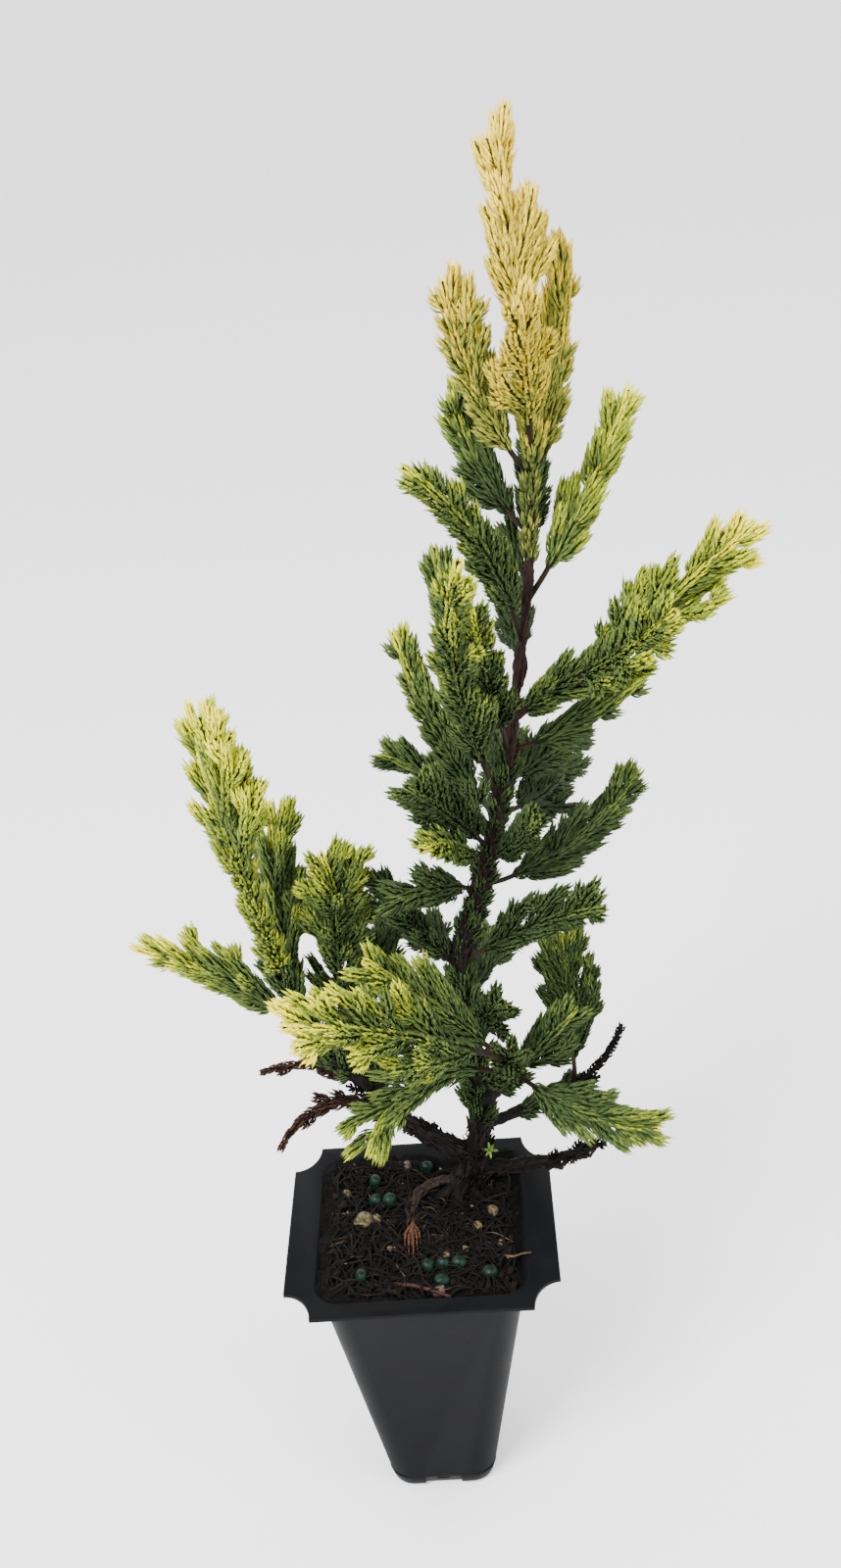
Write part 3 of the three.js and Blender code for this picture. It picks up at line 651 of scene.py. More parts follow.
FIELDS = "name host at heading rise lift sweep length left right family inner outer fuller low"
Spray = namedtuple("Spray", FIELDS, defaults=(EXTRA_SIZE, BARE))
SPRAYS = [Spray(*row) for row in (
    ("leader_crown", "trunk", 303, 200, 85, 0, 0, 49, 0.4, 0.4, "gold", 3, 4.2),
    ("leader_skirt", "trunk", 285, 265, 55, -10, 0, 47, 0.4, 0.4, "gold", 2.2, 4, 1.0),
    ("leader_left_gold", "trunk", 279, 210, 50, 35, -5, 48, 0.2, 0.5, "gold", 1.4, 4, 1.0),
    ("leader_left_green", "trunk", 266, 170, 45, 35, -20, 35, 0.3, 0.5, "lime", 1, 5.6, 1.2),
    ("leader_right_gold", "trunk", 274, 45, 60, 20, 15, 53, 0.5, 0.15, "gold", 1.2, 4, 1.0),
    ("leader_back", "trunk", 259, 80, 40, -5, 10, 38, 0.3, 0.3, "lime", 1, 3),
    ("spray_right_upper", "trunk", 250, 20, 50, 15, 10, 51, 0.32, 0.25, "lime", 2.8, 6.2),
    ("spray_left_upper", "trunk", 240, 250, 65, -25, -25, 67, 0.2, 0.22, "lime", 1.6, 5.2),
    ("twig_left_upper", "trunk", 253, 110, 40, 0, -25, 26, 0.3, 0.3, "lime", 1, 3),
    ("back_upper", "trunk", 232, 85, 20, -5, 20, 46, 0.3, 0.3, "lime", 1, 3),
    ("spray_mid_left_front", "trunk", 212, 255, 60, -15, 10, 67, 0.25, 0.25, "lime", 1, 5.4),
    ("spray_mid_left_tall", "trunk", 199, 240, 65, -20, 45, 100, 0.14, 0.22, "lime", 1.4, 5.8),
    ("spray_mid_left_back", "trunk", 208, 120, 55, 25, 25, 55, 0.3, 0.3, "lime", 1, 4),
    ("spray_mid_left_out", "trunk", 195, 175, 60, 15, 10, 54, 0.2, 0.35, "lime", 1, 5.4),
    ("spray_mid_left_low", "trunk", 192, 155, 50, -30, 15, 33, 0.4, 0.4, "lime", 1, 4, 1.2),
    ("spray_mid_left_under", "trunk", 187, 240, 50, -10, 0, 48, 0.35, 0.35, "lime", 1, 3.2, 1.3),
    ("twig_left_yellow", "trunk", 182, 245, 50, -30, 5, 44, 0.3, 0.3, "lime", 2, 5.4),
    ("spray_right_high", "bough_right_high", 1, 340, 45, 0, -15, 52, 0.35, 0.5, "lime", 2.6, 7.4,
     0.75),
    ("spray_right_under", "bough_right_high", 0.7, 295, 30, 10, 0, 55, 0.3, 0.3, "lime", 2, 5.6, 1.5),
    ("twig_right_brown", "bough_right_high", 0.35, 55, 25, 0, 0, 15, 0.3, 0.3, "brown", 0, 1),
    ("spray_right_mid", "trunk", 213, 10, 5, 30, 10, 36, 0.5, 0.2, "lime", 1.4, 4.6, 1.3),
    ("spray_right_inner", "trunk", 204, 55, -5, 0, 0, 41, 0.4, 0.3, "lime", 1, 3),
    ("back_right", "trunk", 196, 55, -15, 5, 30, 63, 0.3, 0.35, "lime", 1, 2.8),
    ("spray_right_fan", "trunk", 177, 25, -5, 60, -10, 50, 0.35, 0.25, "lime", 1, 3.6, 1.2),
    ("twig_right_fan", "trunk", 183, 310, 40, 5, -30, 38, 0.4, 0.3, "lime", 1, 3.4),
    ("spray_right_low", "trunk", 155, 340, 40, -10, -40, 56, 0.35, 0.2, "lime", 1, 3.4, 1.3),
    ("twig_left_mid", "trunk", 176, 220, 30, -20, 5, 30, 0.4, 0.4, "lime", 1, 3, 1.3),
    ("spray_left_mid", "bough_left_mid", 1, 205, 65, 0, 0, 14, 0.5, 0.5, "lime", 1, 3.2, 1.4),
    ("spray_left_hidden", "bough_left_up", 0.6, 55, 75, -65, 20, 34, 0.4, 0.4, "lime", 1, 2.6, 1.4),
    ("spray_left_tall", "bough_left_out", 1, 245, 70, 15, -25, 85, 0.2, 0.5, "lime", 2.2, 7,
     EXTRA_SIZE, 0.42),
    ("spray_left_inner", "bough_left_out", 0.8, 110, 45, 50, -35, 53, 0.35, 0.5, "lime", 1.8, 5.6),
    ("spray_left_far", "bough_left_out", 0.6, 160, 35, -10, 25, 49, 0.25, 0.5, "lime", 1.8, 7.2),
    ("spray_left_upright", "bough_left_up", 1, 295, 80, -20, -35, 54, 0.35, 0.45, "lime", 1.8, 5.6, 1.2),
    ("back_left", "trunk", 151, 105, 5, -25, 30, 54, 0.35, 0.35, "lime", 1, 3),
    ("spray_front_left", "bough_front", 1, 220, 40, -10, 5, 73, 0.35, 0.45, "lime", 1.6, 7.4),
    ("spray_front_high", "bough_front", 0.85, 180, 50, 0, 60, 56, 0.4, 0.4, "lime", 2, 5),
    ("spray_front_down", "bough_front", 0.6, 175, 25, -60, 75, 45, 0.3, 0.3, "lime", 1.6, 5, 1.7),
    ("spray_front_right", "bough_front", 0.75, 310, -15, 10, 45, 38, 0.5, 0.4, "lime", 1.6, 5, 1.1),
    ("spray_front_up", "bough_front", 0.45, 355, 50, 5, -20, 29, 0.6, 0.6, "lime", 1, 4),
    ("spray_right_back", "bough_right_back", 1, 100, 80, 0, 5, 45, 0.3, 0.4, "lime", 1, 4.2, 1.8),
    ("dead_right", "bough_right_back", 0.8, 345, 35, 40, -5, 31, 0.2, 0.2, "black", 0, 0, 0.6),
    ("dead_left_flat", "bough_left_low", 0.94, 130, 20, -25, 75, 33, 0.3, 0.2, "brown", 0, 1),
    ("dead_left_down", "bough_left_low", 0.72, 165, 35, -70, 75, 36, 0.25, 0.2, "brown", 0, 1),
    ("sprout_right", "trunk", 138, 300, 40, 5, -15, 31, 0.4, 0.5, "lime", 1, 3, 1.3),
    ("back_high", "trunk", 193, 80, 5, 0, 15, 60, 0.35, 0.4, "lime", 1, 4),
    ("back_low", "trunk", 142, 85, -10, -10, -5, 69, 0.35, 0.35, "lime", 1, 4.4),
    ("back_foot", "trunk", 119, 105, -15, -5, 0, 59, 0.35, 0.35, "lime", 1, 4.4),
)]


def seeded(seed):
    """The same numbers from the same seed, between 0 and 1."""
    state = (seed * 7919 + 17) % LONG_CYCLE

    def draw():
        nonlocal state
        state = state * 16807 % LONG_CYCLE
        return state / LONG_CYCLE

    return draw


def fan_axes(tangent, turn):
    """Directions across a fan that faces the light but for its turn, and out of its flat."""
    facing = unit(LIGHT - LIGHT.dot(tangent) * tangent)
    across = np.cross(tangent, facing)
    c, s = math.cos(turn), math.sin(turn)
    return across * c + facing * s, facing * c - across * s


def vary(chance):
    return 1 - VARY + 2 * VARY * chance


def grow(stem, length, shoots, sides, seed, first, low=BARE, shortest=SHORTEST,
         scatter=SCATTER, fork=FORK):
    """Side shoots of a stem, no longer than the shares of it given for its left and right."""
    draw = seeded(seed)
    turn = math.radians(FAN_TURN) * (2 * draw() - 1)
    lines = []
    for k in range(shoots):
        t = low + (LAST - low) * (k + 0.5) / shoots
        side = first if k % 2 == 0 else -first
        angle = math.radians(fork) * vary(draw())
        tilt = math.radians(scatter) * (2 * draw() - 1)
        size = length * sides[1 if side > 0 else 0] * (1 - TAPER * t) * vary(draw())
        reach = min(size, (1 - t) * length + OVERSHOOT)
        if reach < shortest:
            continue
        point, tangent = along(stem, t)
        across, out = fan_axes(tangent, turn)
        lean = math.cos(tilt) * side * across + math.sin(tilt) * out
        heading = math.cos(angle) * tangent + math.sin(angle) * lean
        line = [point]
        for _ in range(SHOOT_STEPS):
            line.append(line[-1] + heading * reach / SHOOT_STEPS)
            heading = unit(heading + FOLLOW * tangent + RISE * UP)
        lines.append((t, np.array(line)))
    return lines


def beads(points, skip):
    """Places along a line, spaced as beads, without its first stretch."""
    places, walked = [], 0.0
    for start, end in zip(points, points[1:]):
        span = np.linalg.norm(end - start)
        count = max(1, round(span / BEAD))
        for i in range(count):
            share = (i + 0.5) / count
            if walked + span * share >= skip:
                places.append(start + (end - start) * share)
        walked += span
    places.append(points[-1])
    return np.array(places)


def clear(places, radius, taken, radii):
    """True where no bead comes nearer to the taken ones than their radii and a little room."""
    if not len(taken):
        return True
    gaps = np.linalg.norm(places[:, None] - taken[None], axis=2)
    return bool(np.all(gaps >= radius + radii[None] + ROOM))

# %% [markdown]
# Each stem starts on its host and takes its room first. A side shoot stays only where it keeps
# clear of the limbs, of other stems and of shoots that stand already, as in the CAD source.
# Then a second set of shoots fills the gaps between the first, and every shoot forks again.

# %% Stems, shoots and twiglets
EXTRA_SEED, EXTRA_SHORTEST, EXTRA_SCATTER, EXTRA_FORK = 1000, 5, 40, 24
TWIGLET_SPACING, TWIGLET_SHORTEST, TWIGLET_SIDES = 7.0, 4.5, (0.5, 0.5)
TWIGLET_FORK, TWIGLET_SCATTER = 26, 30
TWIGLET_SEED = 31
STEM_SHARE, TWIGLET_SHARE = 0.52, 0.2
BOUGH_SKIP = 4
Twig = namedtuple("Twig", "points start end order")


def bead_radii(places, points, radii):
    """Radius of the limb at each bead."""
    nearest = np.argmin(np.linalg.norm(places[:, None] - points[None], axis=2), axis=1)
    return np.asarray(radii)[nearest]


taken_places, taken_radii = [], []


def take(places, radii):
    taken_places.append(places)
    taken_radii.append(np.broadcast_to(radii, len(places)))


take(beads(TRUNK, 0), bead_radii(beads(TRUNK, 0), TRUNK, TRUNK_RADII))
for bough in BOUGHS:
    places = beads(limbs[bough.name], BOUGH_SKIP)
    take(places, bead_radii(places, limbs[bough.name], bough_radii(bough)))

stems = [arc(root_on(row.host, row.at), row) for row in SPRAYS]
stem_beads = [beads(stem, STEM_SKIP) for stem in stems]
stem_radii = []
for stem, places in zip(stems, stem_beads):
    bare_reach = np.linalg.norm(stem[-1] - stem[0]) * BARE + BARE_MARGIN
    near = np.linalg.norm(places - stem[0], axis=1) < bare_reach
    stem_radii.append(np.where(near, STEM, PLUME))


def shoots_on(row):
    return max(FEWEST, int(row.length / SPACING + 0.5))


def first_side(number):
    return 1 if number % 2 == 0 else -1


first_shoots = []
for k, row in enumerate(SPRAYS):
    others = [places for i, places in enumerate(stem_beads) if i != k]
    other_radii = [radii for i, radii in enumerate(stem_radii) if i != k]
    room = np.concatenate(taken_places + others)
    room_radii = np.concatenate(taken_radii + other_radii)
    own, kept = np.empty((0, 3)), []
    for t, line in grow(stems[k], row.length, shoots_on(row), (row.left, row.right), k + 1,
                        first_side(k), row.low):
        inner = beads(line, NEST_SKIP)
        free = clear(beads(line, ROOT_SKIP), PLUME, room, room_radii)
        if free and clear(inner, NEST_RADIUS, own, np.full(len(own), NEST_RADIUS)):
            kept.append((t, line))
            own = np.concatenate([own, inner])
    for _, line in kept:
        take(beads(line, ROOT_SKIP), PLUME)
    first_shoots.append(kept)
print(sum(len(kept) for kept in first_shoots), "first shoots on", len(stems), "stems")


def length_of(points):
    return float(distances(points)[0].sum())


def spray_twigs(number, row, stem, kept):
    """All twigs of a spray, each with its place from 0 at the spray's foot to 1 at its tips."""
    twigs = [Twig(stem, 0.0, 1.0, 0)]
    sides = (row.left * row.fuller, row.right * row.fuller)
    first = -first_side(number)
    more = grow(stem, row.length, shoots_on(row), sides, number + 1 + EXTRA_SEED, first, row.low,
                EXTRA_SHORTEST, EXTRA_SCATTER, EXTRA_FORK)
    for t, line in kept + more:
        start = STEM_SHARE * t
        twigs.append(Twig(line, start, start + 1 - STEM_SHARE, 1))
        reach = length_of(line)
        count = int(reach / TWIGLET_SPACING)
        seed = number + 1 + TWIGLET_SEED * len(twigs)
        for s, twiglet in grow(line, reach, count, TWIGLET_SIDES, seed, -first, BARE,
                               TWIGLET_SHORTEST, TWIGLET_SCATTER, TWIGLET_FORK):
            fork_share = start + (1 - STEM_SHARE) * s
            twigs.append(Twig(twiglet[::2], fork_share, fork_share + TWIGLET_SHARE, 2))
    return twigs


twigs = [spray_twigs(*parts) for parts in zip(range(len(SPRAYS)), SPRAYS, stems, first_shoots)]
print(sum(len(group) for group in twigs), "twigs,",
      round(sum(length_of(twig.points) for group in twigs for twig in group) / 1000, 1), "m long")

# %% [markdown]
# Rods, needles and fibres are all the same kind of solid: a point, some rings of corners and a
# point again. Thousands of them are worked out together as arrays and joined into one mesh,
# which a hand could only do with particles, and which stays light enough to pass on.

# %% Helpers for joined meshes
def rods(lines, radii, sides):
    """Corners and triangles of many closed rods: lines (rod, place, xyz), radii between ends."""
    lines, radii = np.asarray(lines, float), np.asarray(radii, float)
    total, count = lines.shape[:2]
    rings = count - 2
    tangents = lines[:, 2:] - lines[:, :-2]
    tangents /= np.linalg.norm(tangents, axis=2, keepdims=True)
    axis = np.eye(3)[np.argmin(np.abs(lines[:, -1] - lines[:, 0]), axis=1)]
    across = np.cross(tangents, axis[:, None])
    across /= np.linalg.norm(across, axis=2, keepdims=True)
    out = np.cross(tangents, across)
    turns = 2 * math.pi * np.arange(sides) / sides
    spread = (np.cos(turns)[:, None] * across[:, :, None]
              + np.sin(turns)[:, None] * out[:, :, None])
    corners = lines[:, 1:-1, None] + radii[:, :, None, None] * spread
    points = np.concatenate([lines[:, :1], corners.reshape(total, -1, 3), lines[:, -1:]], axis=1)
    j = np.arange(sides)
    after = (j + 1) % sides
    last = rings * sides + 1
    faces = [np.stack([0 * j, 1 + after, 1 + j], 1)]
    for ring in range(rings - 1):
        a, b = 1 + ring * sides + j, 1 + ring * sides + after
        faces += [np.stack([a, b, b + sides], 1), np.stack([a, b + sides, a + sides], 1)]
    top = 1 + (rings - 1) * sides
    faces.append(np.stack([0 * j + last, top + j, top + after], 1))
    one = np.concatenate(faces)
    offsets = np.arange(total)[:, None, None] * (last + 1)
    return points.reshape(-1, 3), (one[None] + offsets).reshape(-1, 3)


def together(groups):
    """Joins several sets of corners and triangles into one."""
    points, faces, first = [], [], 0
    for corners, triangle_rows in groups:
        points.append(corners)
        faces.append(triangle_rows + first)
        first += len(corners)
    return np.concatenate(points), np.concatenate(faces)


def mesh_piece(name, corners, faces):
    """A piece from corners in millimetres and triangles."""
    mesh = bpy.data.meshes.new(name)
    mesh.vertices.add(len(corners))
    mesh.vertices.foreach_set("co", (corners * MM).astype(np.float32).ravel())
    mesh.loops.add(3 * len(faces))
    mesh.loops.foreach_set("vertex_index", faces.astype(np.int32).ravel())
    mesh.polygons.add(len(faces))
    mesh.polygons.foreach_set("loop_start", np.arange(0, 3 * len(faces), 3, dtype=np.int32))
    mesh.polygons.foreach_set("use_smooth", np.ones(len(faces), bool))
    mesh.update(calc_edges=True)
    piece = bpy.data.objects.new(name, mesh)
    bpy.context.collection.objects.link(piece)
    return piece


def capped(points, tuck=0.05):
    """A line with one more point at each end, so that a rod closes there."""
    first = points[0] - tuck * unit(points[1] - points[0])
    last = points[-1] + tuck * unit(points[-1] - points[-2])
    return np.concatenate([[first], points, [last]])


# %% [markdown]
# A stem is woody all along, and its shoots and finest twiglets have this year's green skin. Dead
# twigs are brown or blackened throughout. Each kind of skin is one joined piece, and a table
# gives the radii at foot and tip for a stem, a shoot and a twiglet.

# %% Twigs
DEAD = {"brown", "black"}
TWIG_SIDES = 5
NO_RODS = (None, None, None)
TWIG_RADII = {
    "woody_twigs": {"live": ((0.72, 0.34), None, None),
                    "brown": ((0.75, 0.35), (0.5, 0.25), (0.3, 0.15))},
    "green_twigs": {"live": (None, (0.42, 0.26), (0.28, 0.18))},
    "blackened_twigs": {"black": ((1.0, 0.55), (0.7, 0.4), (0.5, 0.3))},
}


def style_of(family):
    return family if family in DEAD else "live"


def twig_piece(name):
    """A joined piece of all the twigs that have radii in the table under its name."""
    by_count = defaultdict(list)
    for row, group in zip(SPRAYS, twigs):
        ends = TWIG_RADII[name].get(style_of(row.family), NO_RODS)
        for twig in group:
            if ends[twig.order]:
                count = len(twig.points)
                by_count[count].append((capped(twig.points), np.linspace(*ends[twig.order], count)))
    groups = [rods([line for line, _ in members], [radii for _, radii in members], TWIG_SIDES)
              for members in by_count.values()]
    return mesh_piece(name, *together(groups))


young = speckled("young_red_brown_twig", "#100907", "#22180a", 4, 0.7, 3.0, 0.65, 0.12)
sappy = speckled("green_shoot_skin", "#1f2b10", "#39461a", 5, 0.6, 2.0, 0.65, 0.12)
dress(twig_piece("woody_twigs"), young, "bark")
dress(twig_piece("green_twigs"), sappy, "needles_green")
dress(twig_piece("blackened_twigs"), bark, "bark")

# %% [markdown]
# A needle is a slim awl that points forward along its twig. They stand in whorls of three, each
# whorl turned against the one before. Every needle is drawn as a spindle of six triangles. Its
# colour is chosen by its spray and by how far out on the spray it grows: new growth is lime or
# straw gold, old growth inside is deep green. The inner needles are also darker as painted shade,
# for the shadow deep inside each spray.

# %% Needles
NEEDLE_STYLES = {
    "live": ((4.8, 3.3), (24, 10), 0.3),
    "brown": ((4.2, 2.6), (24, 10), 0.55),
    "black": ((2.8, 2.0), (36, 26), 0.6),
}
NEEDLE_RADIUS = 0.33
WIDEST = 0.5
DEAD_RADIUS = 0.36
PLUME_SHADE, MOST_SHARE = 0.06, 1.1
TIP_BARE, SHOOT_BARE = 1.4, 0.6
TWIGLET_NEEDLE = 0.86
LENGTH_SPREAD, ANGLE_SPREAD, TURN_SPREAD, DEAL_SPREAD = (0.8, 1.15), (0.8, 1.2), 0.3, 0.2
CLOSING_SHARE, CLOSING_ANGLE = 0.7, 0.8
BELLY_OUT, TIP_OUT = 0.5, 0.15
PIECE_NEEDLES = 31000
COLOURS = {
    "gold": ["#26331a", "#505d2e", "#8e923e", "#d8c440", "#ffe850"],
    "lime": ["#28341f", "#334228", "#455732", "#64763b", "#9aa83a", "#d6da36", "#fff73c"],
    "brown": ["#2e201a", "#4a342b"],
    "black": ["#120e0c"],
}
SLOTS = {
    "gold": ["needles_green"] + ["needles_gold"] * 4,
    "lime": ["needles_dark"] * 2 + ["needles_green"] * 2 + ["needles_lime"] * 3,
    "brown": ["needles_dead_brown"] * 2,
    "black": ["needles_dead_black"],
}
chance = np.random.default_rng(11)


def whorls(twig, spacing, skip):
    """Places, directions and shares of the whorls along a twig, past its bare foot."""
    spans, walked = distances(twig.points)
    if walked[-1] - skip < spacing:
        return None
    stops = np.arange(skip, max(walked[-1] - TIP_BARE, skip + spacing), spacing)
    places = places_at(twig.points, walked, stops)
    segment = np.clip(np.searchsorted(walked, stops) - 1, 0, len(spans) - 1)
    tangents = np.diff(twig.points, axis=0)[segment] / spans[segment, None]
    return places, tangents, stops / walked[-1]


def needles_on(twig, skip, style):
    """Needle lines (needle, 3, xyz) of a twig with the share of the spray where each grows."""
    lengths, angles, spacing = NEEDLE_STYLES[style]
    found = whorls(twig, spacing, skip)
    if found is None:
        return np.empty((0, 3, 3)), np.empty(0)
    places, tangents, shares = (np.repeat(part, 3, axis=0) for part in found)
    count = len(places)
    smaller = TWIGLET_NEEDLE if twig.order == 2 else 1.0
    length = np.interp(shares, [0, 1], lengths) * smaller * chance.uniform(*LENGTH_SPREAD, count)
    opening = [angles[0], CLOSING_ANGLE * angles[0], angles[1]]
    angle = np.radians(np.interp(shares, [0, CLOSING_SHARE, 1], opening)
                       * chance.uniform(*ANGLE_SPREAD, count))
    turn = np.arange(count) * 2 * math.pi / 3 + np.arange(count) // 3 * math.pi / 3
    turn += chance.uniform(-TURN_SPREAD, TURN_SPREAD, count)
    axis = np.eye(3)[np.argmin(np.abs(tangents), axis=1)]
    across = np.cross(tangents, axis)
    across /= np.linalg.norm(across, axis=1, keepdims=True)
    out = np.cross(tangents, across)
    lean = np.cos(turn)[:, None] * across + np.sin(turn)[:, None] * out
    heading = np.cos(angle)[:, None] * tangents + np.sin(angle)[:, None] * lean
    middle = places + heading * (WIDEST * length)[:, None] + lean * BELLY_OUT
    tip = places + heading * length[:, None] + lean * TIP_OUT
    shade = PLUME_SHADE * chance.normal() if twig.order else 0
    share = twig.start + (twig.end - twig.start) * shares + shade
    return np.stack([places, middle, tip], 1), np.clip(share, 0, MOST_SHARE)


SPIRAL = math.radians(137.5)
LITTLE_STEPS, LITTLE_FOLLOW = 2, 0.3
LITTLE_BARE, LITTLE_SIDES = 0.3, 5
LITTLE_RADII = {"little_dead_twigs": 0.4, "little_twigs": 0.28}


def clothed_limb(points, low, high, shoots, seed, reaches, leans):
    """Little shoots close along a limb that carries needles to its tip, as twigs of a spray."""
    draw = np.random.default_rng(seed)
    made = []
    for k in range(shoots):
        t = low + (high - low) * (k + 0.5) / shoots
        point, tangent = along(points, t)
        across, _ = fan_axes(tangent, SPIRAL * k)
        lean = math.radians(draw.uniform(*leans))
        heading = math.cos(lean) * tangent + math.sin(lean) * across
        reach = draw.uniform(*reaches)
        line = [point]
        for _ in range(LITTLE_STEPS):
            line.append(line[-1] + heading * reach / LITTLE_STEPS)
            heading = unit(heading + LITTLE_FOLLOW * tangent)
        made.append(Twig(np.array(line), 0.2, 0.8, 2))
    return made


needles = defaultdict(list)
RIPENING_AND_SHADE = {"gold": 1.3, "lime": 1.7, "brown": 1.0, "black": 1.0}


def deal(spray, look, lines, shares):
    """Deals the needles of a spray out to the colours of its family."""
    family, inner, outer = look
    # Needles low on a spray and at the foot of each shoot get the darker colours: partly older growth,
    # partly painted shade for the inside of the spray.
    rise = shares ** RIPENING_AND_SHADE[family]
    index = inner + (outer - inner) * rise + chance.normal(0, DEAL_SPREAD, len(shares))
    index = np.clip(np.rint(index), 0, len(COLOURS[family]) - 1).astype(int)
    for colour in np.unique(index):
        needles[family, int(colour)].append((spray, lines[index == colour]))


for row, group in zip(SPRAYS, twigs):
    look = (row.family, row.inner, row.outer)
    for twig in group:
        skip = row.length * BARE if twig.order == 0 else SHOOT_BARE
        deal(row.name, look, *needles_on(twig, skip, style_of(row.family)))

CLOTHED = [
    ("leader", 0.38, 0.62, 26, (3.5, 5.5), ("gold", 0.8, 2.6)),
    ("leader", 0.6, 1.0, 34, (6, 12), ("gold", 1.6, 3.6)),
    ("trunk", 0.24, 0.42, 50, (6, 13), ("lime", 0.6, 3.2)),
    ("trunk", 0.42, 0.72, 44, (4, 8), ("lime", 0.6, 3)),
    ("spray_left_tall", 0.04, 0.5, 34, (4, 8), ("lime", 3, 5.4)),
    ("spray_left_inner", 0.05, 0.7, 16, (8, 18), ("lime", 1.4, 5)),
    ("spray_left_upright", 0.05, 0.7, 14, (8, 18), ("lime", 1.4, 4.4)),
    ("bough_left_up", 0.1, 1.0, 26, (7, 18), ("lime", 1, 3.6)),
    ("bough_left_out", 0.1, 1.0, 26, (5, 12), ("lime", 1, 3.4)),
    ("bough_left_mid", 0.1, 1.0, 14, (5, 10), ("lime", 1, 3)),
    ("bough_right_high", 0.1, 1.0, 22, (6, 13), ("lime", 1.8, 4.6)),
    ("bough_front", 0.3, 1.0, 30, (5, 11), ("lime", 1, 3.4)),
    ("bough_right_back", 0.3, 1.0, 16, (4, 8), ("lime", 0.6, 2.6)),
    ("bough_left_low", 0.25, 1.0, 18, (4, 9), ("black", 0, 0)),
    ("trunk", 0.03, 0.2, 16, (4, 9), ("black", 0, 0)),
    ("bough_right_bare", 0.45, 1.0, 9, (2.5, 5), ("black", 0, 0)),
]
LEANS, SLEEK_LEANS = (22, 38), (8, 20)
CLOTHED_SEED = 20
lines_of = dict(limbs, leader=TRUNK[8:])
lines_of.update({row.name: stem for row, stem in zip(SPRAYS, stems)})
little, little_dead = [], []
for number, (name, low, high, count, reaches, look) in enumerate(CLOTHED):
    dead = look[0] in DEAD
    owner, made = ("dead_right", little_dead) if dead else ("leader_crown", little)
    leans = SLEEK_LEANS if name == "leader" else LEANS
    seed = CLOTHED_SEED + number
    for twig in clothed_limb(lines_of[name], low, high, count, seed, reaches, leans):
        deal(owner, look, *needles_on(twig, LITTLE_BARE, style_of(look[0])))
        made.append(capped(twig.points))
for name, lines, material, slot in (("little_dead_twigs", little_dead, bark, "bark"),
                                    ("little_twigs", little, sappy, "needles_green")):
    radii = np.full((len(lines), LITTLE_STEPS + 1), LITTLE_RADII[name])
    dress(mesh_piece(name, *rods(lines, radii, LITTLE_SIDES)), material, slot)


def foliage(name, code):
    """Needle skin: a waxy surface over a little light that comes through from behind."""
    material, shader = new_material(name)
    plug(material, shader, {"Base Color": linear(code), "Roughness": 0.5,
                            "Specular IOR Level": 0.06})
    glow = add(material, "ShaderNodeBsdfTranslucent", {"Color": linear(code)})
    mixed = add(material, "ShaderNodeMixShader",
                {"Fac": 0.38, 1: shader.outputs["BSDF"], 2: glow.outputs["BSDF"]})
    output = material.node_tree.nodes["Material Output"]
    plug(material, output, {"Surface": mixed.outputs["Shader"]})
    return material


counts = defaultdict(dict)
for key, members in needles.items():
    for spray, lines in members:
        counts[spray][key] = counts[spray].get(key, 0) + len(lines)
chief = {spray: max(by_key, key=by_key.get) for spray, by_key in counts.items()}

total_needles = 0
for key in sorted(needles):
    family, colour = key
    material = foliage("needle_" + family + "_" + str(colour), COLOURS[family][colour])
    batches, batch, filled = [], [], 0
    for spray, lines in needles[key]:
        if filled + len(lines) > PIECE_NEEDLES:
            batches.append(batch)
            batch, filled = [], 0
        batch.append((spray, lines))
        filled += len(lines)
    batches.append(batch)
    placed = set()
    for number, batch in enumerate(batches, 1):
        lines = np.concatenate([lines for _, lines in batch])
        total_needles += len(lines)
        radius = DEAD_RADIUS if family in DEAD else NEEDLE_RADIUS
        corners, faces = rods(lines, np.full((len(lines), 1), radius), 3)
        piece = mesh_piece("needles_" + family + "_" + str(colour) + "_" + str(number), corners,
                           faces)
        mine = sorted({spray for spray, _ in batch if chief[spray] == key} - placed)
        placed.update(mine)
        dress(piece, material, SLOTS[family][colour], *mine)
print(total_needles, "needles")

# %% [markdown]
# On the mix lie the things that a nursery's potting bench leaves there: dark and tan fibres,
# flakes of bark, grit, and round beads of slow fertiliser in a teal coat. Each bead and pebble
# is a sphere, pulled a little out of round and dented by a cloud texture.

# %% Beads, pebbles and litter
BEADS = [(-12.6, 16), (-12.4, 9.6), (1.4, 22.5), (-15.3, -18), (1.4, -13.2), (9.4, -12.6),
         (5, -18.4), (17.3, -16.4), (-8.6, 9.4), (5.4, -12.4)]
PEBBLES = [(-15.6, 2.0, 2.5), (-12.4, 3.2, 1.6), (18.9, 4.3, 1.5), (11.3, -7.5, 1.1),
           (14.6, -0.5, 1.3), (16.8, 20.8, 1.5), (6.2, -9.3, 1.0), (-20, 12.5, 1.2),
           (20.5, -6, 1.1), (-8.5, -6.5, 0.9)]
PINK_PEBBLES = [(-3.8, 22.2, 1.3), (4.3, -21.5, 1.5)]
BEAD_RADIUS = 1.9
STONE_LIFT, STONE_SPREAD, DENT_SIZE = 0.55, (0.82, 1.15), 1.3
litter = np.random.default_rng(3)


